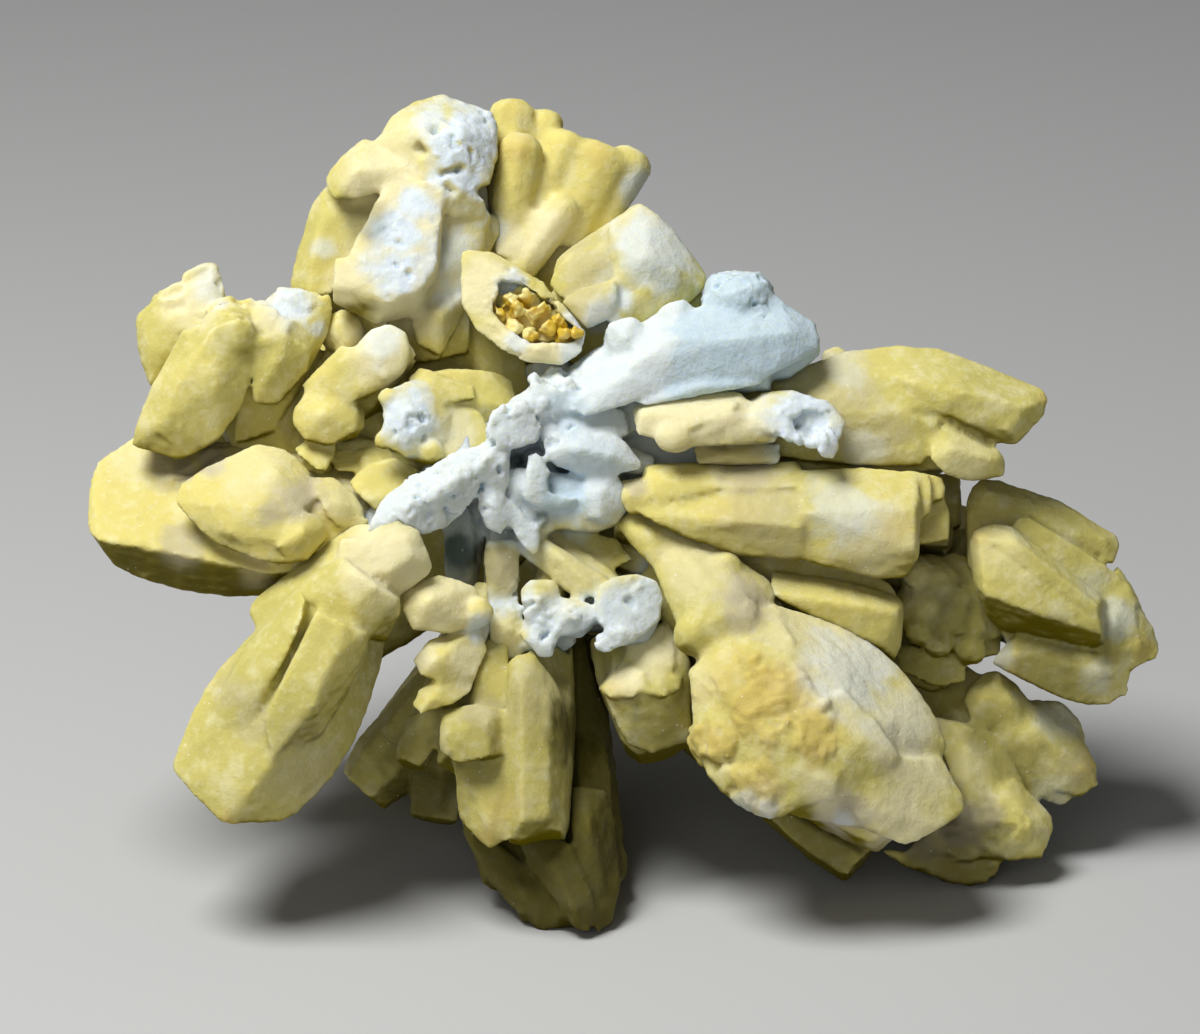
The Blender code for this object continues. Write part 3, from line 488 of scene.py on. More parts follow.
plain = {
    "voxel": 0.115,      # millimetres between the points of the skin
    "kept": 0.68,        # the share of its faces that the finished skin keeps
    "root": (0, 0, -3), "tip": (0, 10, 0),   # the way its crystals grow
    "fan": 40.0,         # how far behind the root they would meet
    "swell": 0.0,        # how much fuller than its shapes it is
    "soften": 2,
    "wave": 0.06, "terrace": 0.03, "groove": 0.015, "sugar": 0.026, "nick": 0.12,
    "broken": 0.0,       # how jagged the ends are
    "warmth": 0.45,
    "white": [], "lilac": [], "ochre": [], "cream": [], "blue": [],
    "whiteBase": 0.0, "bare": [],    # white all over but in the bare places
    "whiteUp": False,    # white only where it looks up, as broken tops do
    "crust": 0.0, "craggy": [],   # how crumbly and pitted, and where, if not all that is white
    "druse": 0.0,        # how granular the ochre places are
    "slot": "yellow_green",
    "keepNode": False,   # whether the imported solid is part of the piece
    "behind": 0.0,       # how far back that solid sits, for the shapes that lie on it
    "shapes": [], "hollows": [],
    "marks": [],         # grooves along lines
    "shade": 0.0, "deep": [],     # painted shade: how dark it is all over, and where it is darker, deep inside
}


wear = {
    "stretch": 0.16,       # how much of a change across a crystal also shows along it
    "stepScale": 0.62, "stepDetail": 1.5, "steps": 2.4,     # terraces: lumps a millimetre, levels
    "waveScale": 0.33, "grooveScale": 3.1, "endScale": 1.15,
    "grainScale": 2.1, "grainDetail": 4.3,
    "crumbScale": 1.1, "crumbDetail": 3.1, "grainCells": 3.0, "pitScale": 1.9,
    "foldScale": 0.8, "foldDetail": 2.0,
    "chipScale": 1.3,
    "edgeRounds": 14,      # how far round a point its surroundings are smoothed to find edges
    "faint": 0.03,         # a patch weaker than this adds no crumbs or folds
}


def terraceSides(skin, look, seed):
    # fused sub-crystals stand a little proud of the side faces, then waves and fine grooves,
    # jagged ends and the marked grooves
    spots = faceOn(skin.spots)
    root, tip = numpy.array(look["root"], float), numpy.array(look["tip"], float)
    length = numpy.linalg.norm(tip - root)
    along = (tip - root) / length
    reach = (spots - root) @ along
    across = (spots - root) - reach[:, None] * along
    across *= (look["fan"] / numpy.maximum(look["fan"] + reach, 3))[:, None]
    lined = across + along * reach[:, None] * wear["stretch"]
    turned = faceOn(skin.spots + skin.normals() * millimetre) - spots
    endward = turned @ along
    sides = 1 - smooth(numpy.abs(endward), 0.55, 0.85)

    step = cloud(lined, wear["stepScale"], seed) + 0.45 * cloud(lined, wear["stepDetail"], seed + 9)
    step = numpy.round(step * wear["steps"]) / wear["steps"]
    heights = look["swell"] + look["wave"] * cloud(spots, wear["waveScale"], seed)
    heights += look["terrace"] * step * (0.3 + 0.7 * sides)
    heights += look["groove"] * cloud(lined, wear["grooveScale"], seed) * sides
    if look["broken"]:
        ends = smooth(endward, 0.35, 0.75) * smooth(reach, length * 0.6, length * 0.85)
        some = ends > 0.02
        mark = cells(spots[some], wear["endScale"], seed)[1]
        heights[some] += look["broken"] * ends[some] * (mark * 0.8 - 0.3)
    if look["marks"]:
        facing = smooth(turned[:, 2] - spots[:, 2], 0.1, 0.4)
        heights -= scores(spots, look["marks"]) * facing
    skin.push(heights)
    skin.spots = skin.relaxed(1)


def roughen(skin, look, seed, spots, ochre):
    # the sugary grain, the crumbs and pits of the crust and the folds of the ochre places
    fine = look["sugar"] * (cloud(spots, wear["grainScale"], seed)
                            + 0.8 * cloud(spots, wear["grainDetail"], seed))
    if look["crust"]:
        craggy = patches(spots, look["craggy"] or look["white"])
        some = craggy > wear["faint"]
        crumbs = cloud(spots[some], wear["crumbScale"], seed + 3) * 0.14
        crumbs += cloud(spots[some], wear["crumbDetail"], seed + 4) * 0.09
        gap, mark = cells(spots[some], wear["grainCells"], seed)
        crumbs += 0.1 * smooth(mark, 0.5, 0.6) * smooth(gap, 0.05, 0.3)
        crumbs -= 0.3 * smooth(cloud(spots[some], wear["pitScale"], seed + 5), 0.36, 0.5)
        fine[some] += look["crust"] * craggy[some] * crumbs
    if look["druse"]:
        some = ochre > wear["faint"]
        folds = 0.45 * numpy.abs(cloud(spots[some], wear["foldScale"], seed))
        folds += 0.2 * numpy.abs(cloud(spots[some], wear["foldDetail"], seed))
        fine[some] += look["druse"] * smooth(ochre[some], 0.15, 0.8) * folds
    skin.push(fine)


def chipEdges(skin, look, seed, spots):
    rim = smooth(skin.bend(wear["edgeRounds"]), 0.05, 0.16)
    chips = look["nick"] * rim * smooth(cloud(spots, wear["chipScale"], seed + 21), 0.12, 0.5)
    skin.push(-chips)
    skin.spots[:, 2] = numpy.maximum(skin.spots[:, 2], 0)
    skin.store()


def keepStainsAndShade(data, skin, look, white, ochre):
    # what the colours and the painted shade follow, at each point
    spots = faceOn(skin.spots)
    proud = skin.bend(wear["edgeRounds"])
    # convex edges: rust in places, and paler edges that are partly a painted highlight
    rim = smooth(proud, 0.06, 0.2)
    # painted shade in creases
    creaseShade = smooth(-proud, 0.02, 0.2)
    level = skin.normals()[:, 2]
    # painted shade on faces that look down
    underShade = smooth(-level, 0.12, 0.65)
    # painted shade in deep places, and over the whole piece by its shade
    deep = numpy.maximum(patches(spots, look["deep"], 0.4, 3.0), look["shade"])
    warm = look["warmth"] - 2 * patches(spots, look["blue"], 0.3)
    if look["whiteUp"]:
        white = white * (0.1 + 0.9 * smooth(level, -0.1, 0.35))
    lilac = patches(spots, look["lilac"], 0.5)
    cream = patches(spots, look["cream"], 0.3)
    keep(data, "coat", (white, lilac, ochre, cream))
    keep(data, "form", (rim, creaseShade, underShade, warm))
    keep(data, "deep", (deep, deep, deep, deep))


def keep(data, name, channels):
    # four numbers at each point, for the material
    values = numpy.stack(channels, axis=1).astype(numpy.float32)
    data.attributes.new(name, "FLOAT_COLOR", "POINT").data.foreach_set("color", values.ravel())


def thin(piece, share):
    # fewer faces where the skin is flat
    fewer = piece.modifiers.new("Fewer faces", "DECIMATE")
    fewer.ratio = share
    fewer.use_collapse_triangulate = True
    applyTo(piece)


def dress(name, look):
    # the piece that shows the node: its crystals in one skin, terraced, grained, worn and stained, with
    # painted shade
    look = {**plain, **look}
    seed = sum(map(ord, name)) % 97
    mesh = looseCopy(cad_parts[name]) if look["keepNode"] else bmesh.new()
    bmesh.ops.translate(mesh, vec=place(0, 0, -look["behind"]) - place(0, 0, 0), verts=mesh.verts)
    addShapes(mesh, look["shapes"])
    piece = fineMesh(name + "_crystals", mesh, look["voxel"], look["hollows"])
    skin = Skin(piece)
    skin.spots = skin.relaxed(look["soften"])

    spots = faceOn(skin.spots)
    white = numpy.maximum(patches(spots, look["white"], 0.5), look["whiteBase"])
    white *= 1 - patches(spots, look["bare"], 0.4, 17.0)
    ochre = patches(spots, look["ochre"], shift=5.0)
    terraceSides(skin, look, seed)
    spots = faceOn(skin.spots)
    roughen(skin, look, seed, spots, ochre)
    chipEdges(skin, look, seed, spots)
    keepStainsAndShade(piece.data, skin, look, white, ochre)
    thin(piece, look["kept"])

    piece.data.materials.clear()
    piece.data.materials.append(finishes["ochre" if look["slot"] == "ochre" else "yellow_green"])
    piece.data.polygons.foreach_set("use_smooth", numpy.ones(len(piece.data.polygons), bool))
    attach(piece, "root")
    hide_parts(name)
    print(name, "has", len(piece.data.polygons), "triangles")


# the pieces: where each one's crystals lie, its stains and its wear

# the blue-white broken stem with its knobs, its lens-shaped crystal and white hexagon
stem = {
    "keepNode": True, "slot": "blue_white", "behind": 0.7, "voxel": 0.1, "root": (0, 1, -4),
    "tip": (0, 6, 0), "fan": 200.0, "warmth": 0.35, "whiteBase": 0.9,
    "bare": [(-1.27, -1.83, 1.5), (-3.74, -2.05, 1.1), (0.37, -1.31, 1.4), (-3.66, -4.3, 1.0),
             (-2.91, -4.37, 0.35)],
    "cream": [(-3.66, -3.85, 1.2, 0.7), (-1.12, -1.98, 1.4, 0.5), (-4.03, 0.04, 0.5, 0.7)],
    "blue": [(5.73, 6.67, 3.2), (-0.37, 2.25, 1.2, 0.5), (-1.37, 0.88, 1.2, 0.7), (3.74, 4.93, 1.6, 0.7),
             (-1.12, 3.92, 1.0, 0.5)],
    "lilac": [(-0.37, 2.13, 1.6, 0.45), (-3.74, -1.98, 0.9, 0.8)],
    # painted shade in a few deep places
    "deep": [(-5.3, -1.31, 0.9, 0.85), (-1.64, 1.16, 0.35, 0.25), (-2.17, -0.04, 0.3, 0.6),
             (-3.06, 2.13, 0.3, 0.8)],
    "craggy": [(-7.1, 0.49, 1.7), (-5.45, 1.23, 1.5), (-3.96, 2.28, 1.2), (-2.61, 4, 1.3),
               (5.29, 8.52, 1.2), (-2.02, -3.55, 1.4), (1.12, -3.17, 0.9), (0.52, -4.44, 0.7),
               (-1.49, 4.97, 1.1)],
    "crust": 0.8, "terrace": 0.02, "nick": 0.1,
    "marks": [(1.08, -3.2, 1.16, -3.1, 0.6, 0.25), (3.24, 6.92, 3.49, 5.8, 0.2, 0.12)],
    "hollows": [knob((1.08, -3.08, 2.3), 0.2, (0.8, 1.2, 1.8)),
                knob((1.26, -3.31, 2.3), 0.16, (1, 0.8, 1.8)),
                knob((0.82, -3.23, 2.3), 0.12, (1.2, 0.7, 1.6)), knob((-3.86, 3.38, 2.5), 0.22),
                knob((-3.27, 3.16, 2.4), 0.16), knob((-6.38, 1, 2.9), 0.2)],
    "shapes": [
        block(3.0, (1.5, 7.07, 0.2), (3.25, 7.69, 0.2), (4.63, 8.21, -0.2), (6.89, 8.09, -0.4),
              (7.76, 7.52, -0.4), (8.32, 6.71, -0.2), (8.24, 6.26, 0.2), (7.23, 5.81, 0.8),
              (6.34, 5.24, 1.2), (4.72, 5.42, 1.4), (3.23, 5.79, 1.5), (1.49, 5.04, 1.5),
              (0.99, 5.54, 1.6), (2.73, 6.66, 1.5), (5.22, 6.66, 1.6), (7.1, 6.92, 0.9)),
        block(2.0, (4.03, 8.58, -0.1), (4.2, 8.96, -0.2), (4.63, 9.16, -0.2), (5.22, 9.02, 0),
              (5.88, 9.18, -0.2), (6.32, 8.88, -0.2), (6.56, 8.21, -0.2), (6, 7.57, 0),
              (5.24, 7.81, 0.6), (4.62, 7.57, 0.1), (4.08, 8.08, 0), (4.99, 8.36, 0.7),
              (5.86, 8.56, 0.5), taper=1.1),
        block(1.6, (3.75, 8.2, -0.1), (4.63, 8.71, -0.2), (6.25, 8.58, -0.1), (7.01, 7.96, -0.2),
              (5.87, 7.56, 0.4), (4.49, 7.56, 0.4), taper=1.0),
        block(1.2, (1.18, 4.43, 1.2), (1.99, 4.99, 1.2), (3.24, 5.36, 1.1), (4.61, 5.49, 1),
              (6.2, 5.31, 0.9), (6.16, 4.93, 1.2), (3.97, 4.86, 1.6), (1.49, 4.11, 1.6)),
        block(2.0, (-1.25, 4.94, 0.6), (-0.37, 5.44, 0.5), (1, 6.32, 0.3), (2, 6.69, 0.5),
              (2.99, 6.18, 1), (2.73, 5.17, 1.4), (0.99, 4.17, 1.7), (-0.62, 3.67, 1.8),
              (-1.49, 4.18, 1.4), (0.74, 5.16, 1.8)),
        block(0.6, (-2.72, 5.03, 1.5), (-2.24, 5.11, 1.5), (-2.16, 4.81, 1.5), (-2.61, 4.69, 1.6)),
        block(1.8, (-8.72, -0.56, 2.7), (-8.5, -0.04, 2.6), (-8.1, 0.41, 2.4), (-7.97, 0.84, 2.2),
              (-7.07, 1.47, 2), (-6.25, 1.9, 1.9), (-5.79, 0.93, 2.4), (-6.05, -0.63, 2.4),
              (-6.82, -0.56, 2.9), (-7.55, -0.26, 3.2), (-7.03, 0.56, 3.3)),
        block(1.9, (-6.4, 1.84, 2), (-5.51, 2.42, 2), (-4.84, 2.45, 2), (-4.39, 2.72, 2),
              (-4.01, 2.12, 2.3), (-4.38, 1.08, 2.5), (-4.98, 0.26, 2.4), (-5.87, -0.56, 2.3),
              (-6.44, 0.63, 3.2), (-5.4, 1.37, 3.2)),
        block(1.6, (-4.91, 2.23, 2), (-4.24, 2.86, 2), (-3.72, 2.56, 2.3), (-3.35, 2.12, 2),
              (-3.64, 1.52, 2.3), (-4.53, 1.23, 2.5), (-4.37, 2.11, 2.9)),
        block(1.8, (-4.2, 3.38, 2.5), (-4.09, 3.83, 2.4), (-3.64, 4.16, 2.3), (-2.9, 4.31, 2.2),
              (-2.31, 3.98, 2), (-2.16, 3.31, 2), (-2.38, 2.79, 2.1), (-3.05, 2.53, 2.3),
              (-3.79, 2.6, 2.5), (-4.16, 2.93, 2.6), taper=0.85),
        block(1.8, (-3.72, 4.06, 1.7), (-2.91, 4.51, 1.6), (-1.87, 4.96, 1.3), (-1.12, 5.26, 1.2),
              (-0.37, 4.67, 1), (-0.75, 3.92, 1.3), (-2.16, 3.61, 1.7), (-2.6, 3.91, 2)),
        block(1.6, (-2.31, 4.07, 1.2), (-0.75, 4.37, 1), (0.97, 4, 0.6), (1.12, 3.03, 0.8),
              (0.37, 3.16, 1.2), (-0.75, 3.21, 1.5), (-1.86, 3.02, 1.6), (-2.16, 2.65, 1.5)),
        block(1.6, (-2.16, 2.64, 1.7), (-1.71, 3.11, 1.5), (-0.75, 3.18, 1.5), (0.37, 3.16, 1.3),
              (0.97, 2.8, 1.2), (1.66, 1.94, 1), (1.57, 1.79, 1.1), (0.37, 1.57, 1.3),
              (-0.67, 1.51, 1.4), (-1.71, 1.89, 1.6), (-2.09, 2.23, 1.7), (-0.74, 2.57, 2.1),
              (0.37, 2.27, 1.9)),
        block(1.4, (-3.58, 1.75, 1.5), (-2.91, 1.9, 1.5), (-2.54, 1.45, 1.3), (-2.54, 0.34, 1.2),
              (-3.06, 0.11, 1.3), (-3.5, 0.56, 1.5), (-3.05, 1.08, 1.9)),
        block(1.4, (-2.32, 1.76, 1), (-0.67, 1.53, 1.1), (-0.52, 0.78, 1.2), (-2.16, 0.71, 1.2),
              (-1.49, 0.93, 1.4), taper=1.0),
        block(1.8, (-0.63, 1.23, 1.4), (-0.07, 1.64, 1.2), (0.67, 1.49, 1.1), (1.2, 0.71, 0.9),
              (1.05, 0.34, 0.9), (0.6, -0.26, 1), (-0.45, -0.04, 1.5), (-0.66, 0.63, 1.6),
              (0, 0.93, 1.7), (-0.07, -0.04, 1.7), taper=1.0),
        block(1.4, (-2.01, 0.63, 1.3), (-1.12, 0.71, 1.4), (-0.56, 0.71, 1.4), (-0.45, 0.04, 1.4),
              (0.6, -0.3, 1), (-0.15, -0.6, 1.1), (-1.12, -0.52, 1.1), (-1.94, -0.41, 1), taper=1.0),
        block(0.9, (-2.72, 2.34, 1.9), (-2.31, 2.49, 1.9), (-1.97, 1.97, 1.9), (-1.97, 0.93, 1.9),
              (-1.86, 0.56, 1.8), (-2.16, 0.26, 1.8), (-2.83, 0.56, 1.9), (-2.68, 1.38, 2.2)),
        block(0.3, (-2.2, 1.9, 1.75), (-1.75, 1.71, 1.8), (-1.9, 1.49, 1.8), (-2.2, 1.45, 1.75)),
        block(0.6, (-2.16, 0.93, 1.9), (-0.71, 0.72, 1.7), (-1.27, 0.34, 1.7), (-2.23, 0.34, 1.8)),
        block(0.3, (-2.53, -0.45, 1.6), (-1.9, 0.11, 1.5), (-2.16, -0.41, 1.6)),
        block(1.0, (-3.36, 0.78, 1.4), (-2.01, 0.63, 1.4), (-1.72, -0.56, 1.2), (-2.54, -0.86, 1.2),
              (-3.21, -0.04, 1.4), taper=1.0),
        block(0.8, (-3.65, 0.71, 1.9), (-3.35, 0.71, 1.9), (-2.91, -0.11, 1.7), (-2.16, -0.71, 1.6),
              (-2.24, -1.23, 1.6), (-2.46, -1.56, 1.7), (-2.9, -1.08, 1.8), (-3.5, -0.11, 1.9)),
        block(1.0, (-4.54, 0.93, 2.1), (-4.16, 1.3, 2.1), (-3.57, 1.08, 2.1), (-3.39, -0.04, 2),
              (-3.65, -0.71, 1.9), (-4.24, -0.41, 2), (-4.5, 0.19, 2.1), (-3.94, 0.48, 2.4)),
        block(1.0, (-4.23, 2.64, 2.4), (-3.35, 2.56, 2.2), (-3.42, 1.08, 2.1), (-4.16, 0.93, 2.3),
              (-3.79, 1.82, 2.5)),
        block(1.2, (-4.29, -0.86, 1.1), (-3.14, -0.78, 1), (-2.99, -2.06, 0.9), (-2.99, -3.29, 0.9),
              (-4.18, -3.25, 1), (-4.33, -1.61, 1.1), (-3.73, -1.98, 1.4)),
        block(1.2, (-4.22, -3.17, 1.2), (-2.91, -3.25, 1.1), (-2.76, -4.59, 1), (-2.91, -5.34, 0.9),
              (-4.11, -5.34, 1), (-3.58, -4.21, 1.5)),
        block(1.2, (-5.94, 0.34, -0.7), (-4.89, 0.49, -0.7), (-4.74, -0.86, -0.6), (-4.74, -2.37, -0.6),
              (-5.86, -2.22, -0.6)),
        block(1.4, (-3.29, -0.64, 0.6), (-2.17, -0.71, 0.9), (-1.87, -0.86, 0.9), (0.3, -2.28, 1),
              (-0.22, -3.02, 1.4), (-0.82, -3.1, 1.4), (-1.64, -2.35, 1.2), (-3.07, -1.31, 0.7),
              (-1.49, -1.45, 1.5), (-0.52, -2.42, 1.6)),
        block(1.4, (-1.8, -0.56, -0.3), (-0.53, -0.56, -0.4), (0.68, -0.79, -0.3), (1.27, -1.61, 0),
              (0.22, -2.06, 0.2), (-1.12, -1.16, 0)),
        block(1.2, (-3.01, -2.72, 1.9), (-2.61, -2.31, 1.9), (-1.71, -2.34, 1.9), (-1.45, -2.79, 1.9),
              (-1.78, -3.68, 2.2), (-2.75, -3.83, 2.3), (-2.94, -3.23, 2.2), (-2.3, -3.01, 2.5)),
        block(1.2, (-3.05, -4.35, 2.1), (-2.75, -3.68, 2.1), (-1.78, -3.46, 2.2), (-1.49, -4.49, 2.4),
              (-1.71, -5.24, 2.3), (-2.23, -5.28, 2.3), (-2.45, -4.57, 2.5)),
        block(1.4, (-1.86, -3.09, 1.9), (-1.19, -2.98, 1.9), (-0.37, -3.16, 2.1), (-0.07, -3.75, 2.2),
              (-0.45, -4.2, 2.3), (-1.26, -4.5, 2.3), (-1.71, -4.27, 2.5), (-1.11, -3.67, 2.7)),
        block(2.0, (-0.22, -3.01, 2.4), (0, -2.49, 2.3), (0.59, -2.16, 2.2), (1.56, -2.12, 2.1),
              (2.16, -2.42, 1.9), (2.38, -3.09, 1.8), (2.23, -3.83, 2), (1.63, -4.42, 2.3),
              (0.67, -4.49, 2.6), (-0.07, -3.97, 2.6), taper=0.8),
        block(1.2, (-0.3, -4.86, 2.6), (-0.07, -4.27, 2.5), (0.67, -4.04, 2.7), (1.34, -4.19, 2.6),
              (1.41, -4.57, 2.4), (0.74, -4.79, 2.7), (0.07, -5.12, 2.6))]}

# the knobbed little crystal in front of the middle
perchedCrystal = {
    "root": (-4.8, -2.6, 1), "tip": (-6.6, -3.4, 2.6), "warmth": 0.9, "terrace": 0.02, "nick": 0.1,
    "voxel": 0.09, "white": [(-4.4, -4.2, 0.6, 0.8)],
    "cream": [(-4.7, -5.6, 1.1), (-6.54, -5.27, 0.6), (-5.98, -3.1, 1.6, 0.8)],
    "shapes": [
        block(2.0, (-7.47, -2.79, 2.3), (-7.21, -2.45, 2.3), (-5.95, -2.12, 2.1), (-4.62, -2.57, 1.8),
              (-4.36, -3.28, 1.8), (-4.46, -4.13, 2.1), (-5.56, -4.34, 2.7), (-6.97, -4.19, 2.9),
              (-7.34, -3.52, 2.8), (-6.29, -3.07, 3.5)),
        block(1.5, (-6.97, -5.3, 2.7), (-6.39, -4.57, 2.3), (-4.47, -4.02, 1.8), (-4.13, -4.95, 1.8),
              (-4.53, -5.91, 2.3), (-5.93, -6.19, 3), (-6.67, -5.89, 3.1), (-6.11, -5.29, 3.3)),
        block(1.3, (-7, -7, 3), (-6.75, -6.41, 2.8), (-5.75, -5.75, 2.5), (-4.46, -5.62, 2),
              (-4.75, -6.5, 2.4), (-5.37, -6.93, 2.9), (-6.66, -7.33, 3.3), (-6.29, -6.77, 3.4)),
        knob((-4.54, -3.53, 2), 0.6), crystal((-4.2, -2.6, 0.2), (-5.6, -6.6, 1.8), 1.5, 1.5)]}

# the big stepped prism that points down to the left
lowerLeftPrism = {
    "root": (-8.1, -1.6, -0.4), "tip": (-13.8, -10.1, 4.2), "warmth": 0.4,
    "cream": [(-7.72, -1.48, 1.9)],
    "lilac": [(-13.57, -6.34, 0.8, 0.4), (-11.08, -9.2, 1.6, 0.35), (-12.82, -7.46, 0.8, 0.4)],
    "ochre": [(-13.94, -11.44, 0.5, 0.6)],
    "marks": [(-10.83, -3.41, -11.21, -4.53, 0.4, 0.45), (-11.21, -4.53, -11.89, -6.15, 0.36, 0.45),
              (-9.65, -1.48, -11.27, -2.63, 0.22, 0.35), (-11.27, -2.63, -12.39, -3.72, 0.25, 0.4),
              (-12.01, -6.4, -12.89, -7.52, 0.7, 0.3), (-12.89, -7.52, -14.57, -9.08, 0.8, 0.25)],
    "shapes": [
        block(4.2, (-12.84, -4.22, 3), (-13.97, -5.45, 3.3), (-14.64, -6.3, 3.5), (-15.15, -7.32, 3.7),
              (-15.45, -8.24, 3.8), (-15.87, -9.22, 3.9), (-15.8, -9.39, 4.1), (-15.45, -9.75, 4.3),
              (-14.79, -10.48, 4.5), (-13.98, -11.24, 4.7), (-13.5, -11.34, 4.6), (-11.84, -11.28, 3.9),
              (-11.21, -10.98, 3.6), (-9.94, -9.68, 3), (-9.09, -8.28, 2.6), (-8.55, -6.86, 2.2),
              (-8.13, -5.51, 1.8), (-7.96, -4.52, 1.4), (-12.79, -10.02, 5.3), (-12.04, -9.03, 5.5),
              (-11.24, -7.99, 5.6), (-10.51, -6.95, 5.6), (-10.16, -5.86, 5.3), (-9.68, -5.07, 4.9),
              (-11, -3.24, 4.2), (-11.47, -4.46, 4.7), (-11.95, -5.69, 4.9)),
        block(2.4, (-10.38, -3.42, 6), (-9.39, -3.85, 6.2), (-8.55, -4.3, 5.7), (-8.61, -4.88, 5.3),
              (-9.14, -6.18, 4.7), (-10.23, -8.01, 4.9), (-10.47, -6.93, 6.4), (-10.11, -5.83, 6.5),
              (-9.62, -5.04, 6.4), (-11.04, -4.81, 6), (-11.4, -5.66, 6.05), (-11.68, -6.15, 6),
              (-12.34, -7.38, 5.7), (-12.04, -8.91, 5.6), taper=1.04),
        block(2.4, (-12.69, -4.24, 3.5), (-11.12, -2.69, 4.3), (-10.8, -3.02, 5.2), (-10.89, -3.59, 5.6),
              (-11.2, -4.45, 5.75), (-11.61, -5.3, 5.75), (-12.04, -6.04, 5.5), (-12.55, -7.03, 5.1),
              (-13.43, -7.96, 4.7), (-14.37, -7.91, 4.3), (-14.19, -6.81, 4.3), (-13.7, -5.88, 4.3),
              (-13.22, -4.97, 4.1), taper=1.0),
        block(2.0, (-9.46, -1.49, 4.3), (-9, -2.05, 5), (-8.2, -2.48, 5.2), (-7.39, -3.04, 4.8),
              (-7.4, -3.61, 4.2), (-7.92, -4.61, 3.4), (-8.62, -4.41, 4.5), (-9.13, -4.19, 4.8),
              (-10.24, -3.36, 4.8), (-10.83, -3.03, 4.5), (-11.07, -2.64, 4.1), (-10.32, -2.02, 4.2),
              (-9, -3.23, 5.1), taper=1.02),
        block(2.2, (-13.14, -3.51, 2.7), (-12.99, -3.2, 2.6), (-12.43, -2.71, 2.6), (-11.45, -1.97, 2.5),
              (-9.73, -0.67, 2), (-8.99, -0.24, 1.9), (-8.24, -0.3, 2.2), (-8.22, -1.04, 2.8),
              (-9.5, -1.47, 3.3), (-11.16, -2.58, 3.3), (-12.28, -3.69, 3.2), (-12.78, -4.19, 3)),
        block(2.6, (-12.78, -4.2, 3.1), (-12.21, -3.63, 3.3), (-11.15, -2.64, 3.7), (-10.28, -1.96, 3.8),
              (-9.47, -1.5, 3.9), (-10.26, -3.3, 4.3), (-10.84, -3, 4.4), (-10.98, -4.1, 4.7),
              (-11.46, -4.59, 4.8), (-12.07, -5.87, 4.9), (-13.35, -5.58, 4)),
        block(2.6, (-8.6, -0.56, 3), (-7.56, -0.04, 3), (-6.74, -0.41, 3), (-6.3, -1.44, 3),
              (-6.15, -1.85, 3), (-6.38, -2.19, 2.9), (-7.45, -3, 2.9), (-7.76, -2.7, 3.5),
              (-8.86, -2.03, 3.9), (-8.94, -1.22, 3.6), (-7.17, -0.78, 3.6), (-6.94, -1.44, 3.8),
              (-7.75, -2.03, 4)),
        block(1.6, (-9.63, -0.85, 3.2), (-8.88, -0.78, 3.4), (-8.28, -1.22, 3.7), (-8.34, -2.03, 3.9),
              (-9.08, -2.18, 3.9), (-9.68, -1.59, 3.7), taper=1.0)]}

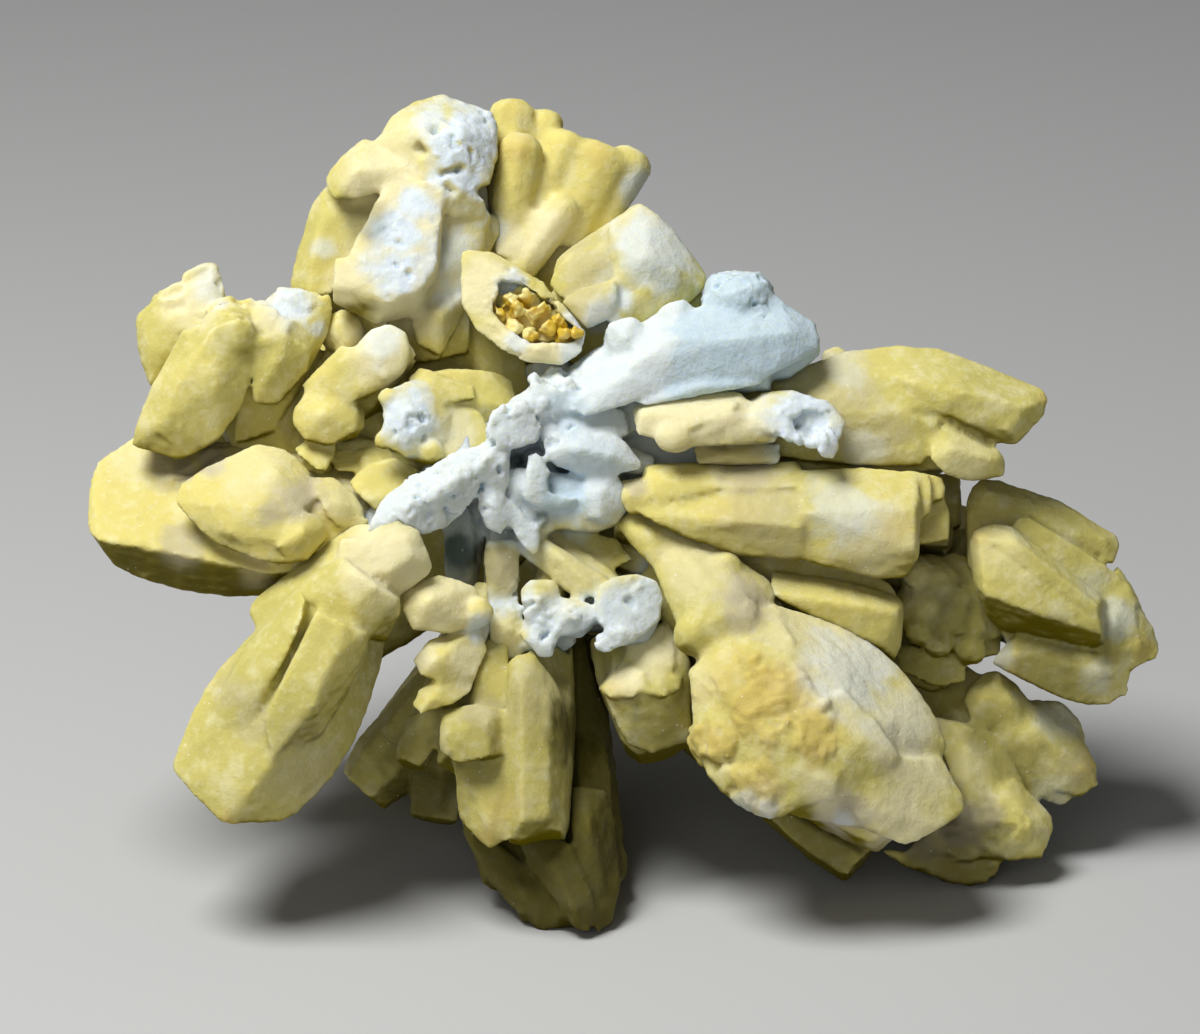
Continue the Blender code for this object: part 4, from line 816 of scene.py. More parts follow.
# the thick prism that points left, with a bud on it
leftPrism = {
    "root": (-8.2, -0.3, -1.6), "tip": (-19.0, 0.5, 0.2), "warmth": 1.0,
    "cream": [(-17.31, 2.5, 1.2, 0.5), (-12.82, 2.13, 1.6, 0.5), (-9.34, 0.76, 1.0, 0.5)],
    "lilac": [(-15.56, 1.76, 0.5), (-14.57, 2.19, 0.7), (-16.43, 1.88, 0.8, 0.6),
              (-15.5, -1.11, 0.9, 0.7), (-11.08, 0.82, 0.9, 0.9), (-12.18, 0.2, 0.6, 0.8),
              (-12.82, -1.98, 0.7, 0.5)],
    # painted shade along the underside
    "deep": [(-17.55, -1.79, 0.8, 0.5), (-16.31, -2.1, 0.8, 0.5), (-15.06, -2.38, 0.8, 0.5),
             (-13.82, -2.6, 0.8, 0.5), (-18.68, -1.23, 0.5, 0.4)],
    "marks": [(-15.84, 1.38, -14.57, 2.32, 0.2, 0.2), (-15, -0.42, -12.82, -1.54, 0.2, 0.12),
              (-12.33, -1.11, -11.33, -0.11, 0.25, 0.15)],
    "shapes": [
        block(3.6, (-17.6, 3.05, -1.4), (-18.91, 2.08, -0.5), (-19.11, 1.51, -0.1), (-19.17, -0.14, 1.1),
              (-19.13, -0.48, 1.5), (-18.7, -0.85, 2.3), (-17.19, -1.06, 2.7), (-15.07, -1.49, 2.9),
              (-12.24, -2.09, 2.7), (-10.77, -1.72, 2.3), (-18.18, -1.79, 0.9), (-17.32, -2.23, 0.8),
              (-15.7, -2.73, 0.8), (-13.96, -2.98, 0.8), (-12.84, -2.98, 0.7), (-11.1, -2.61, 0.6),
              (-15.85, 2.91, -1.6), (-12.45, 2.72, -1.6), (-8.68, 2.53, -1.6), (-8.58, -1.98, 1.4)),
        crystal((-8.2, 0.2, -2.0), (-16.6, 0.9, -1.2), 4.6, 4.6, 20),
        block(2.4, (-15.8, 0.57, 2.7), (-15.6, 1.25, 2.4), (-14.81, 1.81, 2.2), (-13.29, 2.5, 1.5),
              (-12.81, 2.75, 1.2), (-11.7, 2.5, 1), (-10.83, 1.75, 1.1), (-10.53, 0.76, 2.2),
              (-11.1, 0.26, 3.3), (-11.7, -0.85, 3.7), (-12.21, -1.62, 3.3), (-13.46, -1.35, 3.1),
              (-14.32, -0.94, 3.1), (-14.88, -0.48, 3.1), (-15.38, 0.07, 3), (-14.41, 0.51, 3.6),
              (-12.68, 0.38, 3.8), (-13.66, -0.6, 3.9), (-11.99, 1.62, 2.7)),
        block(2.6, (-11.8, 1.25, 1.6), (-10.54, 1, 1.9), (-9.06, 0.01, 1.7), (-8.82, -0.48, 1.5),
              (-10.28, -1.47, 2.3), (-11.74, -1.47, 2.8), (-12.22, 0.14, 3.2)),
        block(1.8, (-15.07, -0.09, 3), (-14.87, -0.48, 3.2), (-14.31, -0.94, 3.3), (-12.69, -1.61, 3.5),
              (-11.66, -1.79, 3.3), (-10.99, -1.65, 3), (-12.2, -0.48, 3.6), (-14.04, 0.01, 3.6)),
        block(1.8, (-11.52, -0.3, 3.6), (-11.1, 0.22, 3.3), (-10.44, 0.11, 3), (-10.07, -0.42, 2.8),
              (-10.14, -0.85, 2.7), (-10.8, -1.62, 3.2), (-11.59, -1.78, 3.4), (-11.94, -1.1, 3.9),
              (-10.95, -0.6, 4)),
        block(2.0, (-10.69, 1.5, 1.5), (-9.95, 1.51, 1.2), (-9.21, 0.88, 1.2), (-8.77, 0.26, 1.3),
              (-8.94, -0.24, 1.6), (-9.78, -0.36, 2.4), (-10.27, 0.26, 2.6), (-10.52, 0.88, 2.4),
              (-9.66, 0.51, 2.3)),
        block(1.4, (-10.18, -0.48, 1.8), (-9.19, -0.3, 1.6), (-8.51, -0.01, 1.5), (-8.82, -0.48, 1.6),
              (-9.8, -0.98, 2))]}

# three upright prisms with broken tops
upperLeftBundle = {
    "terrace": 0.05, "root": (-13.5, 2.5, -1.5), "tip": (-14.0, 8.6, -0.8), "warmth": 0.6,
    "broken": 0.25,
    "white": [(-11.7, 8.17, 1.0, 0.9), (-10.58, 7.05, 0.3, 0.7), (-14.63, 8.67, 0.7, 0.5)],
    "cream": [(-15.31, 8.17, 1.2), (-12.2, 7.67, 0.9)],
    "marks": [(-14.01, 5.55, -14.69, 4.93, 0.3, 0.14), (-14.88, 4.43, -15.19, 3.56, 0.25, 0.12),
              (-13.13, 6.67, -13.05, 5.18, 0.25, 0.14), (-15.69, 6.86, -16.81, 4.81, 0.22, 0.15)],
    "shapes": [
        block(3.2, (-17.52, 7.47, -0.7), (-16.73, 8.32, -0.7), (-15.78, 8.57, -0.5),
              (-14.52, 8.21, -0.3), (-14.1, 8.41, -0.7), (-13.53, 7.46, -0.5), (-14.86, 6.19, 0.3),
              (-16.9, 4.75, -0.4), (-17.35, 5.84, -0.6), (-16.12, 7.45, 0.1), (-16.88, 6.2, 0)),
        block(1.4, (-15.95, 8.67, -0.8), (-15.41, 9.23, -0.9), (-15.05, 9.3, -0.9), (-14.49, 9.59, -1.1),
              (-14.04, 8.54, -0.7), (-14.64, 8.11, -0.2), (-15.64, 8.27, -0.3), (-16.28, 8.22, -0.5)),
        block(1.0, (-16.73, 8.32, -0.6), (-16.16, 8.72, -0.6), (-15.61, 8.91, -0.7), (-15.46, 8.4, -0.3),
              (-16.38, 8.08, -0.1)),
        block(3.4, (-13.85, 8.41, 0.5), (-14.52, 8.18, 0.7), (-15.68, 6.82, 1.1), (-16.79, 4.86, 1.2),
              (-17.41, 3.25, 1), (-17.58, 2.63, 0.7), (-15.67, 2.07, 1.2), (-14.29, 2.81, 1.5),
              (-13.36, 4.11, 1.4), (-13.04, 5.3, 1.2), (-13.12, 6.91, 1.3), (-13.42, 7.41, 1.5),
              (-14.38, 7.14, 2), (-15.61, 5.15, 2.3), (-16.24, 3.54, 2.1), (-14.24, 4.9, 2.4),
              (-12.99, 8.01, 0.2)),
        knob((-13.75, 6.85, 1.2), 1.0, (1, 1, 0.9)), knob((-12.74, 6.46, 0.7), 0.75),
        knob((-12.69, 5.93, 0.7), 0.6), knob((-14.53, 5.16, 1.7), 0.9, (0.8, 1.4, 0.8)),
        block(3.2, (-12.82, 8.08, -0.1), (-12.15, 8.75, -0.6), (-11.65, 8.68, -0.5),
              (-10.55, 8.67, -1.2), (-10.11, 8.36, -1.1), (-10.01, 7.79, -0.9), (-10.26, 6.85, -0.8),
              (-11.34, 4.65, -0.5), (-12.27, 3.21, -0.4), (-13.77, 2.64, -0.4), (-13.6, 4.94, 0.5),
              (-13.28, 6.81, 0.6), (-13.26, 8.08, -0.1), (-12.64, 6.8, 0.9), (-11.59, 6.93, 0.8),
              (-10.86, 6.19, 0.4)),
        block(1.6, (-13.21, 7.43, 0.7), (-12.79, 8.06, 0.5), (-11.84, 7.68, 0.7), (-11.35, 7.44, 0.5),
              (-11.7, 6.86, 1.1), (-12.93, 6.67, 1.3)),
        block(1.6, (-12.91, 5.8, 1.2), (-12.56, 6.54, 1.2), (-11.7, 6.86, 1.1), (-10.79, 6.31, 0.5),
              (-10.92, 5.44, 0.3), (-12.1, 4.13, 0.6), (-13.01, 4.18, 1), (-12.06, 5.67, 1.4)),
        crystal((-6.2, 2.0, -3.4), (-13.6, 5.6, -2.4), 4.2, 3.6, 10),
        crystal((-12.0, 1.6, -2.4), (-13.4, 7.0, -1.6), 4.0, 3.4, 10)]}

# the small knobbed prisms between them
leftCentreBuds = {
    "keepNode": True, "behind": 0.5, "root": (-6.0, 1.5, -3.0), "tip": (-10.0, 4.5, -1.0), "warmth": 0.8,
    "terrace": 0.02, "cream": [(-8.22, 6.42, 1.4)], "white": [(-8.09, 6.55, 0.8, 0.6)], "nick": 0.06,
    "shapes": [
        block(1.8, (-9.51, 5.95, 1), (-8.81, 6.7, 0.9), (-8.56, 7.01, 0.8), (-7.85, 7.23, 0.7),
              (-7.24, 6.87, 0.8), (-7.08, 6.12, 1), (-7.33, 5.4, 1.2), (-8.03, 5.12, 1.5),
              (-8.29, 5.94, 1.5), (-8.8, 6.31, 1.3), taper=0.9),
        block(2.0, (-9.58, 5.86, 1), (-8.8, 6.28, 1.2), (-8.03, 5.18, 1.4), (-7.33, 5.37, 1),
              (-8.01, 4.79, 1), (-8.81, 4.39, 0.9), (-9.67, 4.05, 0.8), (-10.87, 4.17, 0.6),
              (-11.22, 4.94, 0.3), (-10.28, 5.88, 0.3), (-9.69, 6.48, 0.3)),
        block(2.0, (-11.12, 4.2, 0), (-10.64, 5.43, -0.4), (-10, 6.25, -0.6), (-9, 6.2, -0.1),
              (-8.86, 5.31, 0.5), (-9.23, 4.56, 0.6), (-10.11, 4.63, 0.4)),
        block(2.0, (-11.5, 4.02, 0.6), (-11.06, 4.63, 0.5), (-10.11, 4.91, 0.4), (-9.32, 4.67, 0.5),
              (-8.97, 3.98, 0.7), (-9.1, 3.17, 0.9), (-10.08, 2.64, 1), (-11.07, 2.89, 0.9),
              (-11.52, 3.49, 0.7), (-10.32, 3.87, 1.5), taper=0.85),
        knob((-9.62, 3.7, 0.1), 0.9), knob((-9.69, 6.99, -1.6), 0.9),
        block(1.6, (-11.5, 2.58, 0), (-10.88, 2.95, 0), (-10.01, 3.01, -0.2), (-9.87, 2.51, 0.2),
              (-10.21, 1.69, 0.9), (-10.59, 1.73, 0.9), (-11.31, 2.32, 0.8)),
        block(2.0, (-9.41, 1.32, 0.6), (-8.61, 2.01, 0.4), (-7.68, 2.26, 0.2), (-6.62, 1.76, 0.2),
              (-7.28, 1.01, 1), (-8.33, 0.16, 1.2), (-8.73, 0.57, 1.4), (-9.21, 1.01, 1.2)),
        block(1.6, (-10.09, 2.65, -0.8), (-9.28, 2.96, -0.9), (-8.41, 2.9, -0.9), (-7.7, 2.33, -0.5),
              (-9.12, 1.64, 0.1), (-10, 1.76, 0))]}

# the short prism with a white hollow end
whiteEndPrism = {
    "root": (-3.9, 4.0, -1.6), "tip": (-7.1, 3.65, 1.4), "warmth": 0.7, "crust": 0.7, "terrace": 0.02,
    "white": [(-7.06, 3.59, 1.2)], "voxel": 0.09, "craggy": [(-7.06, 3.59, 1.0)],
    "cream": [(-5.42, 3.25, 1.0)],
    "marks": [(-7.02, 3.62, -6.87, 3.32, 0.36, 0.5)],
    "shapes": [
        block(2.4, (-8.13, 4.29, 1.4), (-7.76, 4.78, 1.3), (-7.21, 5.08, 1.1), (-6.46, 4.97, 1),
              (-5.9, 4.56, 0.9), (-5.6, 3.81, 0.9), (-5.79, 2.87, 1.1), (-6.45, 2.2, 1.4),
              (-7.26, 2.16, 1.7), (-7.89, 2.53, 1.8), (-8.16, 3.24, 1.7), (-7.06, 3.61, 2.2)),
        block(2.6, (-5.98, 4.3, 0.8), (-4.49, 3.93, 0.3), (-3.97, 2.88, 0.3), (-4.86, 1.68, 0.7),
              (-5.97, 1.9, 1.3), (-7.09, 2.13, 1.4), (-6.73, 4.75, 0.6)),
        block(1.8, (-7.25, 5.16, 0.7), (-6.8, 5.64, 0.3), (-5.99, 5.38, 0.3), (-4.69, 4.89, 0.1),
              (-4.62, 4.44, 0.5), (-5.6, 4.25, 0.9), (-6.35, 4.58, 1.1), (-6.35, 5.06, 0.9)),
        knob((-7.91, 4.44, 1.3), 0.4), knob((-8.05, 2.87, 1.5), 0.4), knob((-6.26, 2.42, 1.5), 0.45),
        crystal((-3.6, 4.2, -2.0), (-6.6, 4.4, -0.4), 3.0, 2.8)],
    "hollows": [knob((-6.99, 3.53, 2.3), 0.42, (0.9, 1.2, 1.4))]}

# the tall spray with white pitted ends
topLeftSpray = {
    "terrace": 0.05, "root": (-6.5, 5.0, -4.0), "tip": (-7.5, 14.5, -3.2), "warmth": 0.6, "crust": 0.5,
    "whiteUp": True,
    "white": [(-5.08, 14.27, 1.7), (-6.35, 15.12, 0.8, 0.8), (-5.33, 12.91, 1.1), (-6.77, 11.72, 0.75),
              (-7.54, 10.53, 0.95), (-7.71, 9.34, 1.05), (-4.82, 11.89, 1.0, 0.8),
              (-10.34, 10.11, 0.5, 0.55), (-5.67, 9.34, 1.6, 0.7)],
    "craggy": [(-5.6, 14.52, 1.7), (-5.85, 12.77, 1.2), (-7.59, 9.54, 1.2), (-7.22, 10.91, 1.0)],
    # the deep patch is painted shade
    "lilac": [(-5.98, 8.42, 1.5, 0.4)], "deep": [(-8.73, 11.04, 0.9, 0.45)],
    "cream": [(-8.09, 12.77, 1.8), (-9.41, 8.83, 1.0), (-7.37, 7.82, 1.2), (-3.63, 14.27, 0.5, 0.7),
              (-7.2, 10.7, 2.6), (-7.37, 14.27, 1.4, 0.7)],
    "marks": [(-6.16, 14.77, -6.23, 14.58, 0.28, 0.5), (-6.82, 13.89, -6.7, 13.77, 0.3, 0.5),
              (-5.73, 12.4, -5.54, 12.25, 0.25, 0.4), (-5.98, 12.84, -5.23, 13.08, 0.2, 0.25),
              (-7.59, 10.35, -7.45, 10.22, 0.2, 0.2)],
    "shapes": [
        block(3.0, (-10.45, 12.67, -1.9), (-10.31, 13.03, -2), (-9.71, 13.67, -2.2), (-9.02, 14.3, -2.4),
              (-8.39, 14.21, -2.4), (-7.69, 13.81, -2), (-6.54, 13.35, -1.6), (-6.91, 12.82, -1.2),
              (-8.16, 12.35, -1), (-9.04, 12.02, -1), (-10.02, 11.94, -1.1), (-10.31, 12.24, -1.4),
              (-9.15, 13.11, -0.6)),
        block(2.6, (-11.73, 8.64, -2.2), (-11.5, 9.82, -2.4), (-10.99, 11.86, -2.6),
              (-10.48, 12.54, -2.4), (-8.4, 12.27, -2), (-7.73, 11.83, -2), (-8.65, 10.48, -1.8),
              (-9.67, 9.61, -1.5), (-10.11, 8.37, -1.3), (-10.95, 8.3, -1.4), (-10.53, 11.16, -1.6),
              (-10.86, 9.77, -1.3)),
        block(1.6, (-10.24, 12.34, -2.8), (-8.08, 12.58, -2.6), (-8.33, 11.3, -2.3),
              (-9.08, 10.04, -2.3), (-9.97, 9.98, -2.3)),
        block(3.8, (-8.47, 14.26, -2.2), (-7.93, 15.21, -2.6), (-7.11, 15.78, -2.9),
              (-6.08, 16.08, -3.2), (-5.63, 15.9, -3.2), (-5.06, 15.57, -3.1), (-4.11, 15.42, -3.2),
              (-3.76, 14.75, -3), (-3.79, 13.58, -2.4), (-4.13, 12.54, -1.8), (-5.15, 12.13, -1.2),
              (-6.66, 12.64, -1.2), (-7.8, 13.91, -1.6), (-7.03, 14.52, -1.2), (-5.15, 14.52, -1.2),
              (-5.64, 12.99, -0.8)),
        block(2.0, (-6.41, 12.17, -1.3), (-4.7, 12.36, -1.7), (-4.11, 11.35, -2), (-4.62, 10.05, -1.8),
              (-5.9, 10.12, -1.5), (-6.58, 11.14, -1.3), taper=1.0),
        block(2.6, (-7.78, 12.81, -1), (-6.84, 12.8, -1), (-5.87, 11.92, -0.7), (-6.18, 11.15, -0.3),
              (-6.44, 10.8, -0.1), (-6.15, 10.26, 0), (-6.14, 9.31, 0.3), (-6.73, 8.49, 0.6),
              (-7.85, 8.05, 0.9), (-9.35, 8.78, 0.7), (-9.43, 9.94, 0.2), (-8.88, 10.58, -0.2),
              (-8.34, 11.99, -0.8), (-8.39, 7.19, -0.5), (-6.77, 7.6, -0.9), (-6.13, 8.74, -1.1)),
        block(1.8, (-9.97, 9.73, 0.2), (-9.09, 9.75, 0.2), (-8.79, 8.8, 0.7), (-7.85, 8.05, 0.9),
              (-10.04, 8.68, 0.5), (-10.05, 8.01, 0), (-8.41, 7.19, -0.4)),
        block(2.6, (-6.77, 12.62, -0.8), (-5.15, 12.5, -1), (-4.28, 11.9, -1.6), (-4.41, 11.28, -1.8),
              (-5.65, 11.25, -1.2), (-6.02, 11.93, -0.8)),
        block(2.4, (-6.42, 11.02, -1.6), (-4.39, 11.55, -2.2), (-4.33, 10.28, -2), (-5.16, 8.25, -1.6),
              (-5.97, 6.08, -1.2), (-6.41, 6.23, -1.2), (-7.03, 7.23, -1), (-6.77, 8.23, -0.8),
              (-6.02, 9.23, -0.8)),
        block(2.0, (-7.09, 7.29, -0.8), (-6.39, 7.82, -0.6), (-5.88, 7.65, -0.4), (-5.03, 8.49, -1.3),
              (-5.13, 7.74, -1.4), (-6, 6.05, -0.9), (-6.9, 6.47, -0.8)),
        block(2.2, (-4.42, 11.52, -2.8), (-3.67, 11.5, -3.2), (-3.72, 10.83, -3), (-4.17, 10.05, -2.6),
              (-5.17, 8.27, -2.1), (-5.67, 8.76, -1.8), (-5.16, 10.66, -1.9)),
        crystal((-6.4, 4.6, -4.4), (-6.0, 13.6, -4.2), 5.0, 3.4),
        crystal((-6.6, 4.4, -4.4), (-9.8, 12.6, -4.4), 3.0, 2.8),
        crystal((-7.6, 4.6, -4.2), (-10.9, 9.0, -3.4), 2.4, 3.0, 20),
        crystal((-3.2, 3.2, -4.4), (-6.2, 9.4, -4.0), 3.4, 3.2),
        crystal((-6.2, 6.0, -2.6), (-7.0, 9.6, -2.2), 3.6, 2.6)]}

# the split hollow crystal at the top
hollowPod = {
    "voxel": 0.08, "root": (-2.0, 7.2, -5.0), "tip": (-2.9, 7.9, 0.4), "warmth": 0.55, "terrace": 0.0,
    "groove": 0.0, "cream": [(-4.4, 8.8, 1.3), (-2.4, 5.6, 2.4), (-0.4, 7.4, 1.2)],
    "white": [(-3.3, 8.67, 0.6), (-2.99, 6.67, 0.5, 0.7), (-1, 7.17, 0.6, 0.7), (-0.75, 6.18, 0.8, 0.7)],
    "crust": 0.5, "craggy": [(-2.24, 7.67, 2.0)],
    "shapes": [
        block(3.2, (-5.24, 9.97, -0.6), (-5.02, 10.09, -0.8), (-4.02, 9.99, -1), (-3.01, 9.35, -0.8),
              (-2.1, 8.82, -0.5), (-1.65, 8.18, -0.3), (-1, 7.58, -0.3), (-0.5, 6.89, -0.1),
              (-0.6, 6.2, 0.2), (-1.37, 5.69, 0.5), (-2.87, 5.79, 0.6), (-3.62, 6.19, 0.5),
              (-4.62, 6.94, 0.2), (-5.2, 7.95, -0.1), (-5.26, 8.96, -0.4), (-3.63, 9.21, -0.2),
              (-2.24, 6.3, 0.8))],
    "hollows": [
        block(2.5, (-4.15, 7.66, 1.4), (-3.83, 8.2, 1.4), (-3.73, 8.53, 1.4), (-3.83, 9.02, 1.4),
              (-2.98, 8.92, 1.4), (-1.86, 8.05, 1.4), (-1.31, 7.47, 1.4), (-0.55, 6.85, 1.4),
              (-0.93, 6.48, 1.4), (-1.86, 6.51, 1.4), (-2.71, 6.41, 1.4), (-3.17, 6.79, 1.4),
              (-3.48, 6.97, 1.4), taper=0.9)]}

# the amber crystals in its hollow
podLining = {
    "keepNode": True, "voxel": 0.05, "root": (-2.5, 7.6, -1.4), "tip": (-2.6, 7.7, -1.0),
    "slot": "ochre", "terrace": 0.0, "sugar": 0.14, "soften": 1,
    "shapes": [
        block(0.9, (-4.01, 7.59, -0.6), (-3.64, 8.22, -0.7), (-3.01, 8.73, -0.9), (-1.88, 7.91, -0.7),
              (-0.88, 6.96, -0.5), (-1.63, 6.59, -0.4), (-2.75, 6.59, -0.4), (-3.51, 6.96, -0.5)),
        crystal((-4.14, 7.48, -1.15), (-3.75, 7.76, -0.05), 0.75, 0.6, 0, (1, 0.8), 0.5, 0.1, 4),
        crystal((-3.64, 8.11, -1.15), (-3.31, 8.2, -0.05), 0.65, 0.6, 30, (1, 0.8), 0.5, 0.1, 5),
        crystal((-3.2, 7.61, -1.15), (-3.1, 7.88, 0.15), 0.65, 0.65, 10, (1, 0.8), 0.5, 0.1, 4),
        crystal((-3.45, 6.92, -1.15), (-3.19, 7.17, 0.15), 0.7, 0.6, 40, (1, 0.8), 0.5, 0.1, 5),
        crystal((-2.76, 8.24, -1.15), (-2.73, 8.33, -0.15), 0.65, 0.65, 10, (1, 0.8), 0.5, 0.1, 4),
        crystal((-2.57, 7.48, -1.05), (-2.47, 7.67, 0.25), 0.75, 0.6, 20, (1, 0.8), 0.5, 0.1, 4),
        crystal((-2.64, 6.73, -1.05), (-2.6, 6.88, 0.35), 0.65, 0.6, 50, (1, 0.8), 0.5, 0.1, 5),
        crystal((-2.13, 7.73, -1.05), (-2.1, 7.85, 0.15), 0.6, 0.6, 0, (1, 0.8), 0.5, 0.1, 4),
        crystal((-1.94, 6.98, -0.95), (-1.97, 7.16, 0.35), 0.75, 0.6, 30, (1, 0.8), 0.5, 0.1, 4),
        crystal((-1.57, 7.29, -0.95), (-1.5, 7.38, 0.15), 0.6, 0.55, 10, (1, 0.8), 0.5, 0.1, 5),
        crystal((-1.32, 6.66, -0.75), (-1.37, 6.84, 0.45), 0.65, 0.6, 20, (1, 0.8), 0.5, 0.1, 4),
        crystal((-0.88, 6.85, -0.75), (-0.94, 6.92, 0.35), 0.6, 0.5, 0, (1, 0.8), 0.5, 0.1, 4)]}

# rounded grey-yellow crystals right of the pod
curvedCluster = {
    "root": (-0.6, 6.6, -2.6), "tip": (2.0, 11.0, -2.2), "warmth": 0.25, "fan": 12.0, "soften": 8,
    "white": [(1.99, 9.91, 1.7, 0.72), (0.81, 8.23, 0.6, 0.8), (0.12, 7.54, 0.7, 0.6)],
    "lilac": [(-0.37, 9.66, 1.2, 0.5), (-0.37, 8.17, 1.0, 0.5)], "cream": [(1.49, 11.16, 1.2, 0.7)],
    "shapes": [
        block(2.8, (0.25, 11.02, -1.6), (1.51, 11.9, -2.2), (2.04, 11.57, -2), (2.8, 10.89, -2),
              (3.43, 10.03, -1.9), (4.13, 9.12, -2), (4.03, 8.57, -1.7), (3.27, 7.84, -1.2),
              (1.76, 7.17, -0.8), (0.63, 7.44, -0.6), (0.5, 8.71, -0.4), (0.75, 9.97, -0.5),
              (1.75, 9.71, -0.2), (2.76, 9.22, -0.6)),
        block(2.4, (-1.83, 9.21, -2), (-1.64, 9.79, -2.2), (-0.76, 10.48, -2.3), (1.52, 11.95, -2.6),
              (1.74, 11.29, -2), (0.82, 10.38, -1.4), (-0.76, 9.89, -1.7)),
        block(2.2, (-1.95, 8.73, -1.5), (-1.7, 9.41, -1.7), (-1.01, 10.06, -1.7), (0.25, 10.42, -1.5),
              (0.85, 10.1, -1.2), (0.72, 8.96, -1), (-0.63, 8.56, -1), (-1.57, 8.21, -1.1),
              (-0.38, 9.48, -0.9)),
        block(1.8, (-1.53, 8.11, -0.4), (-0.75, 8.63, -0.4), (0.63, 8.98, -0.1), (0.71, 8.17, 0.2),
              (0.31, 7.42, 0.2), (-0.5, 6.99, 0), (-0.94, 7.49, -0.1), (-0.25, 8.06, 0.4)),
        block(1.4, (0.63, 8.21, -0.2), (2, 8.71, -0.3), (3.01, 8.1, -0.9), (1.75, 7.14, -0.5),
              (0.25, 7.01, 0.1)),
        crystal((-1.4, 6.0, -3.2), (1.6, 10.6, -3.0), 4.0, 3.0),
        crystal((0.2, 6.2, -3.0), (3.4, 9.0, -2.8), 3.4, 2.8)]}

# finger-like prisms behind the pod
topRightFingers = {
    "root": (-1.8, 6.5, -4.6), "tip": (-0.9, 14.6, -4.8), "warmth": 0.9, "fan": 20.0, "soften": 8,
    "ochre": [(-3.05, 14.08, 0.6, 0.5), (-3.36, 15.57, 0.4, 0.4), (0, 13.89, 0.5, 0.4)],
    "white": [(1.49, 12.77, 0.8, 0.7), (-4.11, 11.03, 0.6, 0.6)],
    "cream": [(-1.74, 10.66, 1.4), (-3.49, 10.53, 1.0)],
    "shapes": [
        crystal((-3.69, 10.13, -4.4), (-3.34, 15.99, -5), 1.9, 1.8, 15, (0.7, 0.95), 0.8, 0.4, 8),
        crystal((-3.68, 9.84, -3.6), (-2.94, 14.58, -3.5), 1.75, 1.6, 0, (0.7, 0.95), 0.8, 0.4, 8),
        crystal((-3.18, 10.39, -4.6), (-1.88, 15.57, -5.3), 1.35, 1.4, 20, (0.7, 0.95), 0.85, 0.3, 8),
        crystal((-3.05, 10.12, -4.2), (-1.08, 14.7, -4.4), 1.6, 1.6, 0, (0.7, 0.95), 0.85, 0.35, 8),
        crystal((-1.53, 10.37, -4.2), (0.18, 14.23, -4.5), 2.3, 2.0, 10, (0.7, 0.95), 0.85, 0.4, 8),
        crystal((-0.51, 10.64, -4.6), (1.4, 14.03, -5), 1.8, 1.6, 0, (0.7, 0.9), 0.85, 0.4, 8),
        crystal((-3.29, 9.33, -3.4), (-2.28, 11.61, -3.6), 1.3, 1.4, 10, (0.9, 0.9)),
        crystal((-3.42, 8.94, -3.2), (-1.08, 12.12, -3.6), 1.6, 1.6, 0, (0.85, 0.9)),
        block(1.6, (-3.92, 10.84, -3.2), (-3.17, 11.35, -3.4), (-2.78, 11.08, -3), (-3.28, 9.8, -2.6),
              (-4.04, 9.93, -2.6)),
        crystal((-2.0, 5.0, -5.0), (-1.4, 12.0, -5.6), 3.6, 2.6),
        crystal((-1.2, 4.6, -4.4), (0.6, 9.6, -4.6), 3.6, 2.2)]}

